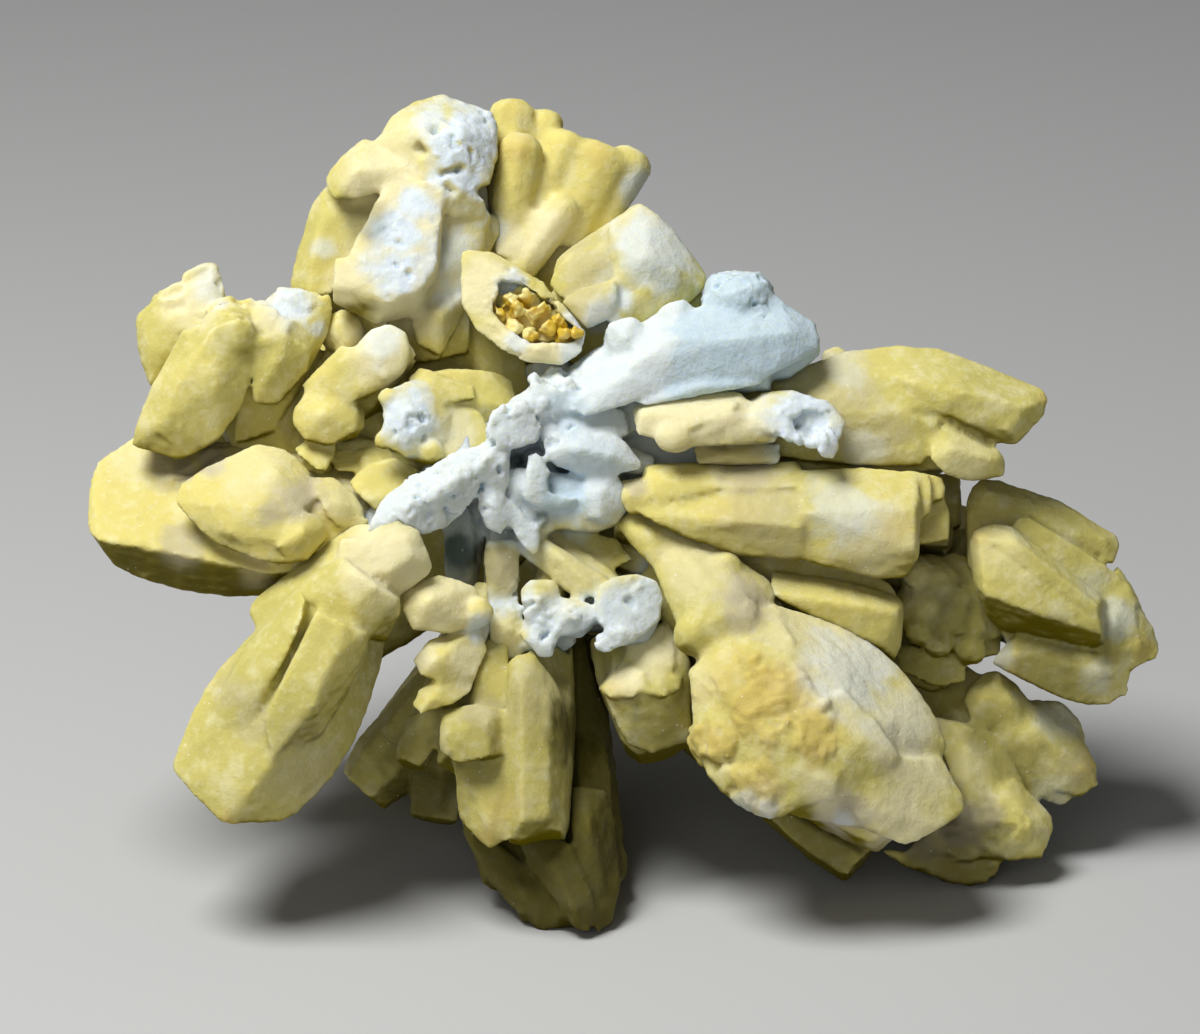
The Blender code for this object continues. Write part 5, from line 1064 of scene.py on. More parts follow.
# the cream prism with a hollow blue end
creamPrism = {
    "root": (0.9, 3.3, 0.3), "tip": (6.5, 3.6, 1.5), "warmth": 0.5, "crust": 0.7, "terrace": 0.04,
    "voxel": 0.09,
    "cream": [(2.2, 3.8, 1.8), (4.0, 4.2, 1.6), (5.6, 4.0, 1.2), (8.53, 2.81, 0.7)],
    "white": [(7.72, 3.69, 1.7)], "craggy": [(7.72, 3.62, 1.3)], "lilac": [(4.86, 2.32, 1.6, 0.4)],
    "marks": [(3.36, 3.62, 5.23, 4.25, 0.18, 0.1), (1.37, 4, 2.37, 4.37, 0.2, 0.08)],
    "shapes": [
        block(2.2, (1.18, 3.94, 0.8), (1.27, 4.1, 0.8), (2.24, 4.56, 0.6), (3.37, 4.85, 0.5),
              (5.23, 4.68, 0.8), (6.34, 3.74, 1.2), (6.59, 2.87, 1.4), (4.84, 2.72, 1.8), (3.1, 2.59, 2),
              (1.37, 3.09, 1.6), (1.61, 3.86, 1.8), (4.83, 3.73, 2.1)),
        block(1.4, (2.23, 3.48, 2), (4.35, 4.24, 1.6), (5.22, 4.36, 1.6), (5.15, 4.08, 1.9),
              (3.59, 3.36, 2.3), (2.35, 3.05, 2.2)),
        knob((2.79, 2.97, 1.8), 0.75, (1.1, 0.8, 0.8)),
        block(1.5, (3.1, 3.24, 1.7), (4.84, 3.61, 2), (6.33, 3.24, 1.8), (6.65, 2.81, 1.5),
              (4.84, 2.68, 1.9), (3.1, 2.64, 1.8)),
        block(2.0, (5.49, 4.32, 0.5), (6.11, 4.69, 0.6), (7.23, 4.77, 0.8), (8.72, 4.25, 0.9),
              (9.25, 3.56, 1), (9.03, 2.93, 1.3), (7.94, 2.52, 1.8), (7.07, 2.86, 2), (6.08, 3.24, 2),
              (5.58, 3.74, 1.8), (7.08, 3.99, 1.5)),
        block(1.2, (8.05, 3.23, 2.2), (8.37, 3.42, 2.1), (8.74, 3.33, 2.1), (8.95, 2.62, 2.1),
              (8.7, 2.12, 2.1), (8.17, 2.27, 2.3), (8.29, 2.86, 2.5)),
        block(1.4, (3.43, 2.63, 0.4), (6.73, 2.73, 0.6), (6.8, 2.19, 0.9), (6.68, 2.01, 0.9),
              (3.61, 1.98, 1), (4.85, 2.38, 1.2))],
    "hollows": [
        block(1.6, (6.93, 3.7, 2.6), (7.61, 4.14, 2.6), (8.56, 4, 2.6), (8.73, 3.48, 2.6),
              (8.16, 3.23, 2.6), (7.85, 2.76, 2.6), (7.2, 3.1, 2.6), taper=0.8)]}

# the tapered prism that points right
upperRightPrism = {
    "terrace": 0.05, "root": (4.4, 3.9, -1.4), "tip": (16.8, 4.2, -0.8), "warmth": 0.5,
    "lilac": [(8.59, 4.74, 1.8, 0.5), (10.46, 2.75, 1.3, 0.5), (7.35, 5.49, 1.0, 0.5)],
    "cream": [(13.69, 2.13, 1.2, 0.5)], "white": [(10.08, 2.63, 0.8, 0.35), (9.21, 5.61, 0.8, 0.25)],
    "ochre": [(16.75, 4.49, 0.3, 0.5)],
    "marks": [(11.95, 3.93, 13.14, 3.56, 0.3, 0.12), (13.14, 3.56, 14.84, 2.74, 0.25, 0.2)],
    "shapes": [
        block(3.4, (9.26, 6.21, -1.9), (11.24, 6.52, -2), (12.78, 6.42, -2), (13.99, 5.95, -2),
              (15.35, 5.43, -1.8), (16.71, 4.91, -1.6), (16.97, 4.48, -1.4), (16.78, 3.79, -1.1),
              (16.33, 3.41, -1), (15.71, 2.67, -0.8), (15.11, 2.76, -0.7), (13.2, 3.52, -0.2),
              (12.69, 3.6, -0.1), (12.84, 4.45, 0.2), (13.69, 4.71, 0.2), (16.11, 4.21, -0.3),
              (15.42, 3.18, -0.2), (11.49, 5.14, -0.1)),
        block(3.6, (5.72, 4.99, -1.1), (7.18, 5.59, -1.4), (9.25, 6.17, -1.7), (11.23, 6.48, -1.9),
              (12.03, 5.49, -0.7), (12.36, 4.29, -0.3), (12.69, 3.43, -0.1), (12.35, 2.16, -0.1),
              (12.01, 1.9, -0.3), (9.45, 1.9, -0.3), (8.26, 2.02, -0.3), (6.38, 2.24, -0.3),
              (7.56, 3.94, 0.2), (11.48, 3.94, 0.2), (10.31, 5.15, -0.4)),
        block(2.2, (12.43, 2.92, 0), (12.95, 3.35, -0.2), (13.55, 3.23, -0.3), (14.93, 2.62, -0.6),
              (15.28, 2.07, -0.6), (15.2, 1.56, -0.5), (13.88, 1.29, 0), (12.92, 1.52, 0.4),
              (12.32, 2.15, 0.5), (13.16, 2.54, 0.6), (14.86, 2.21, 0)),
        block(1.8, (12.87, 3.61, -0.4), (14.95, 2.85, -0.9), (14.95, 2.5, -0.9), (13.21, 2.58, -0.3),
              (12.35, 3.09, -0.2), taper=1.0),
        block(1.4, (8.3, 5.92, -2.3), (8.45, 6.29, -2.3), (9.02, 6.45, -2.3), (9.46, 6.17, -2.3),
              (8.94, 5.93, -1.9)),
        crystal((4.4, 3.6, -2.0), (13.4, 3.4, -1.6), 4.4, 3.4, 10)]}

# the long stepped prism that points right, and the shorter one below
middleRightPrism = {
    "root": (0.7, 0.2, -0.8), "tip": (11.9, -0.3, 0.9), "warmth": 0.75,
    "white": [(9.03, 0.51, 1.3, 0.45)], "cream": [(10.08, -0.49, 1.3, 0.5)],
    "lilac": [(5.6, 1.63, 0.8, 0.8), (4.61, 1.51, 0.5, 0.6), (1.34, 1.13, 0.5, 0.8),
              (6.1, 0.14, 1.8, 0.45), (10.08, -1.11, 1.2, 0.4)],
    "ochre": [(4.61, 0.14, 0.9, 0.2), (11.21, -0.49, 0.8, 0.3)],
    "marks": [(7.66, 0.95, 7.72, -0.49, 0.12, 0.12), (7.72, 0.76, 11.83, 0.36, 0.3, 0.08),
              (1.62, 0.51, 4.61, 1.01, 0.15, 0.12)],
    "shapes": [
        block(1.8, (1.72, 1.76, 0.9), (1.87, 1.93, 0.7), (4.49, 1.97, 0.7), (4.5, 1.07, 1.55),
              (3.35, 0.84, 1.65), (2.36, 0.56, 1.6), (1.8, 0.73, 1.5), (2.36, 1.38, 1.5), taper=1.15),
        block(1.8, (4.37, 1.93, 0.5), (7.26, 2.06, 0.5), (7.46, 1.86, 0.6), (7.51, 1.11, 1.4),
              (4.47, 1.06, 1.5), taper=1.15),
        block(2.0, (0.56, 1.32, 0.7), (1.62, 1.53, 0.7), (1.8, 0.73, 1.5), (1.62, 0.14, 1.4),
              (1.12, 0.07, 1.2), (0.62, 0.57, 1.1), (1.12, 0.88, 1.6)),
        block(3.2, (1.12, 0.48, 1.3), (2.36, 0.61, 1.4), (4.85, 1.07, 1.3), (7.49, 0.95, 1.3),
              (7.69, -0.36, 1.9), (7.55, -1.69, 1.4), (5.09, -1.44, 1.5), (3.1, -0.7, 1.7),
              (1.61, -0.01, 1.6), (4.83, -0.11, 2.3), (7.46, -0.36, 2.2)),
        block(3.4, (7.41, 1.72, 0.9), (9.77, 1.86, 0.4), (11.9, 1.69, 0.3), (11.97, 0.67, 1.3),
              (11.92, -1.5, 1.4), (11.43, -2.27, 1.2), (10.42, -2.32, 1.2), (7.7, -1.71, 1.4),
              (7.59, 0.19, 2), (11.73, 0.28, 2.1), (11.76, -1.16, 2.2), taper=0.8),
        block(2.6, (11.48, 1.76, 0.2), (12.37, 1.62, 0.2), (12.43, 1.13, 0.6), (12.38, 0.16, 0.9),
              (11.87, -0.23, 1), (11.44, 0.19, 1), taper=0.9),
        block(2.4, (12.26, 1.63, 0), (12.86, 1.47, -0.1), (12.99, 1.13, 0), (12.94, 0.67, 0.2),
              (12.32, 0.57, 0.4), taper=0.9),
        block(2.2, (11.87, 0.37, -0.2), (12.96, 0.71, -0.4), (13.16, 0.19, -0.3), (13.12, -0.91, -0.3),
              (12, -1.03, 0.1), taper=0.9),
        block(3.2, (6.36, -1.98, 0.4), (8.07, -2.19, 0.2), (9.78, -2.53, 0.1), (11.23, -3.01, 0),
              (11.38, -3.21, 0.1), (11.36, -4.75, 0.1), (11.06, -5.43, 0), (10.61, -4.91, 0.6),
              (8.89, -3.2, 1.3), (11.18, -3.51, 0.9), (6.34, -2.86, 1.3), taper=0.8),
        crystal((0.6, 0.2, -1.2), (10.8, -0.2, -0.8), 3.2, 3.0, 20),
        crystal((2.2, -0.2, -1.6), (10.8, -3.6, -1.2), 3.0, 2.8)]}

# the broken bundle at the far right
rightFarBundle = {
    "root": (14.0, -1.9, -4.6), "tip": (20.6, -4.6, -4.4), "broken": 0.08, "voxel": 0.1, "soften": 1,
    "marks": [(14.84, -1.16, 18.57, -3.75, 0.16, 0.07), (16.37, 0.02, 19, -1.5, 0.16, 0.1)],
    "white": [(19.59, -3.88, 0.8, 0.45), (18.83, -6.05, 0.7, 0.3), (15.01, -5.12, 0.6, 0.5),
              (18.57, -2.52, 0.7, 0.25)],
    "cream": [(15.06, -1.11, 1.2, 0.4)],
    "ochre": [(20.7, -4.9, 0.5, 0.4), (14.24, -0.66, 0.4, 0.4), (15.52, -5.71, 0.5, 0.4)],
    # painted shade in deep places
    "deep": [(16.54, -4.73, 1.2, 0.3), (16.88, -6.05, 1.6, 0.45), (19.42, -4.9, 0.9, 0.5)],
    "shapes": [
        block(2.6, (13.86, 0.58, -2.9), (14.1, 1.15, -3.1), (14.49, 1.46, -3.3), (15.19, 1.41, -3.5),
              (17.54, 0.58, -3.7), (19.73, -0.67, -4.1), (19.81, -1.1, -4), (19.54, -1.79, -3.6),
              (18.54, -1.18, -3.2), (16.6, -0.32, -2.6), (15.56, -0.49, -2.4), (14.18, -0.58, -2.4),
              (13.93, 0.02, -2.5), (14.71, 0.97, -2.6), (19.25, -0.87, -3.4), taper=0.8),
        block(2.2, (15.54, -0.35, -2.1), (15.85, -0.01, -2.2), (16.32, -0.01, -2.3),
              (17.45, -0.66, -2.4), (19.2, -1.87, -2.8), (20.09, -2.57, -3.2), (20.27, -3.26, -3.2),
              (19.55, -3.08, -2.8), (18.3, -2.56, -2.3), (17.09, -1.52, -2.1), taper=0.8),
        block(3.2, (13.96, -0.97, -1.6), (14.14, -0.54, -1.7), (14.83, -0.25, -1.8),
              (15.49, -0.35, -1.8), (16.04, -0.83, -1.8), (17.42, -1.83, -1.9), (19.12, -3.11, -2.2),
              (19.16, -3.93, -2.2), (19.12, -5.01, -2.7), (18.5, -5.14, -2.6), (16.76, -4.66, -2.4),
              (15.2, -4.22, -2.2), (14.64, -3.76, -2.1), (14.12, -2.55, -1.4), (14.3, -0.83, -0.9),
              (15.71, -0.97, -0.7), (18.81, -3.3, -1.2), (18.92, -4.4, -1.3), (16.65, -3.7, -0.7),
              (14.47, -2.88, -0.6), taper=0.88),
        block(2.2, (13.89, 0.2, -2.7), (14.04, 0.54, -2.9), (14.51, -0.49, -2.2), (14.14, -2.21, -1.6),
              (13.95, -1.87, -1.9)),
        block(2.6, (18.92, -3.07, -2.5), (20.09, -2.56, -3.1), (20.48, -3.26, -3.3),
              (21.06, -4.21, -3.4), (21.31, -4.98, -3.3), (21.12, -5.36, -3.1), (20.22, -5.8, -2.6),
              (18.98, -5.31, -2.2), (19.49, -3.93, -2.1), (20.55, -4.88, -2.4)),
        block(2.4, (14.7, -3.76, -2.4), (19.1, -4.63, -2.6), (20.25, -5.75, -3), (19.56, -6.01, -3),
              (15.75, -5.15, -2.8), taper=1.0),
        block(2.0, (18.31, -2.56, -2.4), (19.55, -3.08, -2.9), (19.9, -3.94, -2.9), (19.09, -4.8, -2.5),
              (18.81, -3.42, -2.2), taper=1.0),
        block(1.6, (19.72, -1.88, -3.9), (20.16, -2.57, -4), (20.52, -3.26, -3.8), (19.58, -3.26, -3.3),
              (19.33, -2.39, -3.4)),
        block(2.6, (14.79, -5.54, -2.5), (15.38, -4.76, -2.3), (15.72, -4.5, -2.2), (18.81, -5.19, -2.2),
              (20.23, -5.71, -2.7), (19.99, -6.76, -3), (19.38, -7.18, -2.9), (18.5, -7.18, -2.7),
              (17.62, -6.93, -2.4), (16.58, -6.42, -2.2), (15.62, -5.92, -2.1), (15.69, -5.09, -1.8),
              (18.79, -5.78, -1.9), taper=0.8),
        crystal((7.0, -0.8, -6.8), (15.8, -2.2, -6.2), 3.6, 3.0),
        crystal((13.4, -1.6, -5.8), (19.0, -4.6, -5.8), 4.4, 2.4)]}

# two stubby bundles at the lower right
rightLowerBundle = {
    "root": (12.0, -6.0, -5.0), "tip": (17.2, -11.2, -3.4), "warmth": 0.5, "broken": 0.12, "soften": 1,
    "white": [(17.55, -7.58, 0.9, 0.4), (17.21, -10.64, 0.7, 0.3)],
    "lilac": [(13.14, -11.66, 1.3, 1.0), (12.21, -12.25, 0.8, 0.9), (14.67, -11.15, 0.6, 0.7),
              (18.06, -9.45, 0.8, 0.4)],
    "ochre": [(18.57, -9.62, 0.5, 0.5), (13.31, -13.52, 0.5, 0.5)],
    # painted shade in deep places, most below
    "deep": [(14.5, -8.09, 0.9, 0.3), (15.86, -9.45, 1.2, 0.35), (13.14, -13.35, 2.6, 0.55)],
    "cream": [(13.99, -9.28, 0.8, 0.5)], "crust": 0.25,
    "craggy": [(12.8, -12, 1.3), (15.86, -11.83, 1.0)],
    "shapes": [
        block(2.6, (13.8, -7.02, -3.4), (13.94, -6.51, -3.6), (14.61, -5.91, -3.8), (15.12, -5.82, -3.8),
              (15.91, -6.35, -3.9), (16.42, -7.04, -3.8), (16.12, -8.06, -3.2), (14.73, -7.96, -2.9),
              (14.04, -7.67, -3), (14.54, -6.75, -2.7), (15.58, -6.92, -2.8), taper=0.8),
        block(2.8, (14.74, -7.97, -3.1), (16.42, -7.03, -3.7), (17.22, -7.22, -4.1),
              (18.45, -8.47, -4.3), (19.06, -9.65, -4.3), (19, -10.2, -4.2), (17.64, -11.11, -3.9),
              (16.83, -10.79, -3.4), (16.12, -9.95, -3.1), (15.42, -8.91, -2.9), (16.62, -8.13, -2.8),
              (18.39, -9.53, -3.5), taper=0.8),
        block(2.2, (16.88, -7.01, -4.2), (17.59, -7.05, -4.4), (18.35, -7.79, -4.6),
              (18.57, -8.48, -4.5), (17.56, -8.46, -4), (16.69, -7.65, -4), taper=0.9),
        knob((16.68, -7.5, -4.3), 0.55),
        block(3.0, (12.56, -7.55, -2.6), (14.02, -7.83, -2.7), (15.28, -8.36, -2.9),
              (15.58, -9.42, -2.8), (16.26, -10.45, -2.6), (15.71, -11.11, -2.1), (13.79, -11.26, -1.6),
              (13.29, -9.73, -1.8), (13.89, -7.99, -2.1), (13.95, -10.74, -1.3), taper=0.8),
        block(2.8, (11.54, -12.68, -1.8), (12.24, -11.95, -1.5), (13.78, -11.08, -1.4),
              (15.72, -9.83, -2.2), (16.33, -10.47, -2.4), (17.15, -11.3, -2.5), (17.21, -11.82, -2.4),
              (16.74, -12.91, -2), (16.04, -12.68, -1.8), (15.34, -13.04, -1.7), (13.96, -12.88, -1.6),
              (12.08, -12.76, -1.7), (14.61, -11.4, -0.9), (16, -11.59, -1.2), taper=0.8),
        block(2.4, (14.57, -8.75, -3.2), (16.14, -8.49, -3.4), (16.83, -10.83, -3.5),
              (15.4, -11.83, -2.6), (14.36, -10.45, -2.6)),
        block(2.6, (10.54, -12.56, -1.8), (12.08, -12.73, -1.7), (15.36, -13.09, -2),
              (15.04, -13.71, -2.4), (14, -13.91, -2.3), (13.13, -13.73, -2.1), (11.58, -13.25, -1.9),
              taper=0.8),
        crystal((10.8, -8.6, -5.2), (13.9, -13.6, -2.9), 2.6, 2.8, 0, (0.8, 0.7)),
        crystal((5.0, -4.6, -6.0), (13.4, -8.6, -4.8), 3.0, 2.8, 10),
        crystal((12.0, -6.0, -5.6), (16.4, -10.2, -4.4), 4.0, 2.6)]}

# lumpy prisms deep between them, with a patch of painted shade
innerRight = {
    "keepNode": True, "terrace": 0.05, "root": (3.6, 0.0, -5.2), "tip": (14.4, -1.6, -4.6),
    "warmth": 0.3, "fan": 20.0, "sugar": 0.05, "behind": 1.0, "deep": [(13.82, -3.72, 1.6, 0.4)],
    "cream": [(12.33, -2.73, 1.6, 0.35)],
    "shapes": [
        knob((12.03, -2.13, -2.5), 0.7), knob((12.85, -2.42, -2.6), 0.8),
        knob((13.59, -3.08, -2.7), 0.75), knob((12.37, -3.33, -2.4), 0.7),
        knob((13.24, -3.94, -2.5), 0.8), knob((12.11, -4.31, -2.3), 0.6), knob((14.17, -4.2, -2.8), 0.7),
        knob((14.03, -4.97, -2.8), 0.7), knob((12.8, -4.79, -2.4), 0.6),
        knob((12.53, -2.52, -3.2), 1.15), knob((13.43, -2.27, -3.4), 0.95),
        knob((11.89, -3.47, -3), 0.9), knob((13.02, -3.59, -2.9), 0.95), knob((14.19, -3.03, -3.4), 1.2),
        knob((13.66, -4.16, -3), 0.9), knob((14.7, -4.04, -3.4), 0.9),
        block(1.8, (12.15, -4.44, -3.2), (13.55, -4.36, -3.2), (15.27, -4.74, -3.4),
              (15.26, -5.24, -3.2), (13.93, -5.45, -2.9), (12.29, -5.07, -2.8), (13.51, -4.78, -2.5)),
        block(2.0, (11.08, -4.73, -3.2), (12.27, -5.05, -3), (13.94, -5.45, -3), (13.91, -6.31, -3),
              (12.77, -6.46, -2.9), (11.38, -5.86, -2.8))]}

# the largest crystal, a rough barrel with an ochre face
barrel = {
    "root": (3.4, -3.8, -0.8), "tip": (12.8, -11.8, 3.4), "warmth": 0.5, "fan": 25.0, "druse": 1.0,
    "soften": 4, "wave": 0.16, "groove": 0.03,
    "ochre": [(6.56, -6.59, 1.6, 0.8), (7.97, -7.75, 1.2, 0.7), (4.32, -8.33, 0.9, 0.7),
              (5.81, -7.5, 1.1, 0.6), (4.65, -6.17, 1.1, 0.45), (5.81, -9.99, 1.2, 0.5)],
    "lilac": [(5.4, -3.27, 1.1, 0.9), (8.96, -10.82, 1.1, 1.0), (10.79, -8.66, 0.9, 0.4),
              (5.98, -10.49, 0.9, 0.5)],
    "cream": [(3.49, -1.86, 1.4, 0.6), (11.21, -11.4, 1.3, 0.9), (8.13, -10.07, 0.8, 0.8),
              (3.74, -6.01, 1.0, 0.4), (9.13, -5.34, 2.2, 0.9), (11.04, -7.5, 1.7, 0.8),
              (11.79, -9.74, 1.2, 0.8), (7.47, -4.01, 1.3, 0.7), (11.12, -10.99, 1.4, 0.9)],
    "white": [(9.3, -5.67, 1.8, 0.5), (11.04, -7.5, 1.2, 0.22), (5.31, -10.49, 0.5, 0.4),
              (6.14, -10.74, 0.4, 0.5), (8.96, -11.15, 0.35, 0.5), (7.8, -4.93, 0.5, 0.3)],
    "crust": 0.3,
    "craggy": [(5.15, -10.07, 0.8), (6.64, -10.82, 0.8), (4.15, -8.91, 0.6)],
    "marks": [(4.48, -6.01, 4.98, -6.92, 0.35, 0.2), (4.98, -6.92, 5.48, -6.67, 0.3, 0.16),
              (3.98, -5.67, 3.9, -6.5, 0.3, 0.16), (6.31, -7.5, 6.56, -8.5, 0.35, 0.22),
              (6.56, -8.5, 7.47, -8.99, 0.35, 0.22), (7.47, -8.99, 8.8, -9.41, 0.35, 0.2),
              (5.15, -7.75, 5.48, -8.91, 0.4, 0.16), (5.48, -8.91, 6.64, -9.82, 0.4, 0.16),
              (3.98, -7.25, 4.65, -7.75, 0.3, 0.14), (9.79, -6.84, 11.04, -8.91, 0.3, 0.08),
              (11.04, -8.91, 11.62, -10.4, 0.35, 0.1), (8.8, -5.84, 9.96, -7.67, 0.3, 0.05),
              (7.14, -4.76, 8.3, -5.18, 0.4, 0.08), (9.54, -9.74, 10.46, -10.65, 0.35, 0.14)],
    "shapes": [
        block(2.4, (0.67, -0.28, 0.5), (1.25, 0.39, 0.3), (2.49, -0.74, 0.5), (3.66, -0.78, 0.7),
              (2.73, -2.68, 1.5), (1.99, -1.86, 1), (1.49, -0.61, 1.1)),
        block(3.0, (1.99, -1.77, 1.2), (2.49, -0.76, 0.9), (3.65, -0.71, 0.9), (4.36, -0.94, 0.9),
              (4.98, -1.44, 1), (6.39, -2.44, 1.1), (6.59, -2.93, 1.2), (5.78, -4.32, 2.2),
              (4.37, -5.1, 2.7), (3.71, -5.27, 2.6), (3.3, -4.86, 2.3), (2.81, -4, 1.9),
              (2.24, -2.68, 1.5), (3.63, -2.09, 2.2), (5.11, -2.83, 2.6), (3.95, -3.98, 3),
              (4.94, -3.49, 3)),
        block(5.0, (5.68, -4.31, 3), (6.54, -3.26, 1.7), (7.97, -3.6, 1), (9.31, -4.18, 0.7),
              (10.14, -4.68, 0.6), (11.05, -5.51, 0.7), (11.62, -6.17, 0.9), (12.19, -7.08, 1.2),
              (12.6, -7.74, 1.4), (12.93, -8.55, 1.7), (12.73, -9, 2), (11.5, -10.87, 3.6),
              (9.81, -9.18, 4.8), (8.18, -6.73, 4.7), (6.97, -5.11, 3.9), (9.03, -5.94, 3.6),
              (10.67, -7.58, 3.8)),
        block(5.0, (3.29, -5.75, 3.1), (3.71, -5.38, 3), (4.36, -5.06, 3.2), (5.68, -4.32, 3.2),
              (6.97, -5.11, 4), (8.17, -6.73, 4.9), (9.38, -8.35, 5.2), (8.72, -9.89, 5.4),
              (7.34, -10.22, 5.4), (7.27, -10.72, 5.1), (6.7, -11.07, 4.9), (6.05, -11.1, 4.8),
              (5.32, -10.75, 4.5), (4.59, -10.18, 4.3), (4.02, -9.54, 4), (3.69, -8.81, 3.8),
              (3.37, -7.91, 3.6), (3.53, -7.5, 3.7), (3.37, -6.6, 3.4), (5.23, -6.73, 4.8),
              (6.52, -8.34, 5.5)),
        block(3.8, (9.83, -11.5, 4.2), (11.23, -12.18, 4), (11.65, -12.09, 3.9), (12.31, -11.52, 3.7),
              (12.73, -11.45, 3.6), (13.51, -10.89, 3.1), (13.55, -10.41, 2.9), (13.19, -9.84, 2.6),
              (12.72, -8.99, 2.3), (11.06, -8.8, 4.2), (9.4, -8.77, 4.9), (9.24, -10.65, 4.8),
              (10.63, -10.83, 4.6)),
        block(1.6, (7.34, -10.22, 5.3), (8.69, -10.27, 5.3), (8.72, -9.89, 5.5), (7.82, -9.4, 5.6),
              (6.76, -9.08, 5.5), (6.36, -9.98, 5.3), (7.18, -10.76, 5.1)),
        block(1.2, (4.11, -5.13, 3.2), (4.6, -5.04, 3.4), (5.41, -5.76, 4.3), (5.24, -6.57, 4.6),
              (4.43, -5.93, 4.1), (3.94, -5.61, 3.6)),
        block(2.6, (7.21, -10.68, 4.3), (7.36, -10.26, 4.5), (9, -10.26, 4.5), (9.93, -11.52, 3.8),
              (9.02, -11.27, 3.9), (7.79, -11.01, 4.1)),
        block(3.4, (8.18, -6.73, 4.7), (9.39, -8.36, 5.1), (8.73, -9.9, 5.2), (9.24, -10.65, 4.8),
              (9.8, -9.18, 4.9), (11.05, -8.79, 4.4), (10.23, -7.56, 4.4), (9.01, -6.33, 4.3),
              taper=1.0),
        block(3.4, (5.68, -4.31, 3), (6.54, -3.26, 1.8), (7.23, -4.63, 3.4), (6.97, -5.28, 3.9),
              (5.25, -5.53, 3.7), (4.36, -5.13, 3.1), (3.71, -5.3, 2.9), (4.61, -4.31, 2.8),
              (5.78, -3.5, 2.4), taper=1.0),
        block(2.4, (5.24, -10.26, 4.4), (7.19, -10.65, 5), (9.32, -10.33, 4.7), (10.01, -11.44, 3.8),
              (9.02, -11.27, 3.9), (7.37, -11.01, 4.2), taper=1.0),
        knob((8.75, -10.21, 4.6), 0.5), knob((8.22, -7.03, 4.5), 0.5), knob((3.55, -4.32, 2.2), 0.9),
        knob((5.28, -3.83, 2.3), 0.8), knob((4.64, -1.85, 1.2), 0.7),
        block(1.2, (3.29, -5.75, 3.2), (3.7, -5.36, 3.1), (4.36, -5.13, 3.3), (4.92, -5.6, 4),
              (4.59, -6.34, 4.2), (3.86, -6.59, 3.8), (3.41, -6.44, 3.5), taper=1.05),
        block(1.2, (3.49, -7.58, 3.7), (3.35, -7.95, 3.6), (3.69, -8.81, 3.9), (4.58, -9.02, 4.7),
              (5.07, -8.2, 4.9), (4.58, -7.39, 4.5), (3.93, -7.24, 4.1), taper=1.05),
        block(1.2, (4.02, -9.54, 4), (4.59, -10.18, 4.3), (5.32, -10.74, 4.6), (6.21, -10.97, 5),
              (6.36, -10.22, 5.4), (5.55, -9.33, 5.2), (4.58, -9.19, 4.7), taper=1.05),
        crystal((2.4, -1.6, -1.6), (8.0, -7.0, 0.4), 4.4, 3.6),
        crystal((5.0, -5.0, -1.0), (11.6, -11.0, 1.6), 6.0, 4.6)]}

# the block and the long prisms below the barrel, with painted shade on them
underBarrel = {
    "keepNode": True, "terrace": 0.05, "root": (1.2, -4.4, -2.4), "tip": (9.9, -12.6, -1.6),
    "warmth": 0.4, "cream": [(1.91, -4.76, 1.2), (1, -6.01, 0.7)], "behind": 0.4,
    "deep": [(2.16, -8.91, 2.2, 0.55), (8.0, -10.5, 3.6, 0.6), (4.0, -7.0, 1.6, 0.5)],
    "ochre": [(0.5, -6.46, 0.6, 0.4)],
    "marks": [(1.58, -5.67, 1.66, -7.08, 0.3, 0.16), (2.74, -6.01, 2.66, -6.84, 0.25, 0.12)],
    "shapes": [
        block(2.4, (0.91, -5.08, 1.4), (1.41, -4.67, 1.2), (2.49, -3.89, 0.8), (2.82, -4.35, 0.8),
              (3.4, -5.34, 1), (3.36, -6.82, 1.4), (3.44, -8.4, 1.4), (1.99, -8.88, 1.8),
              (0.99, -8.55, 1.8), (0.5, -7.47, 1.8), (0, -6.48, 1.9), (0.5, -5.82, 1.8),
              (1.24, -6.63, 2.4), (2.48, -6.63, 2.3)),
        block(1.6, (0, -6.39, 2), (0.5, -5.82, 1.8), (0.91, -5.49, 1.8), (1.65, -5.73, 2.3),
              (1.69, -6.38, 2.6), (1.24, -6.71, 2.7), (0.33, -6.71, 2.4), taper=1.15),
        block(1.6, (1.53, -5.9, 2.1), (2.48, -5.85, 2.1), (3.08, -5.98, 1.9), (2.99, -6.39, 2.2),
              (2.39, -6.67, 2.6), (1.69, -6.58, 2.6), taper=1.15),
        block(1.4, (0.91, -4.67, 1.2), (1.49, -4.59, 1.1), (2.49, -3.89, 0.8), (2.74, -4.35, 0.9),
              (2.81, -5.65, 1.8), (2.07, -5.81, 2.1), (1.24, -5.65, 1.9), (1.82, -4.99, 1.8),
              taper=1.0)]}

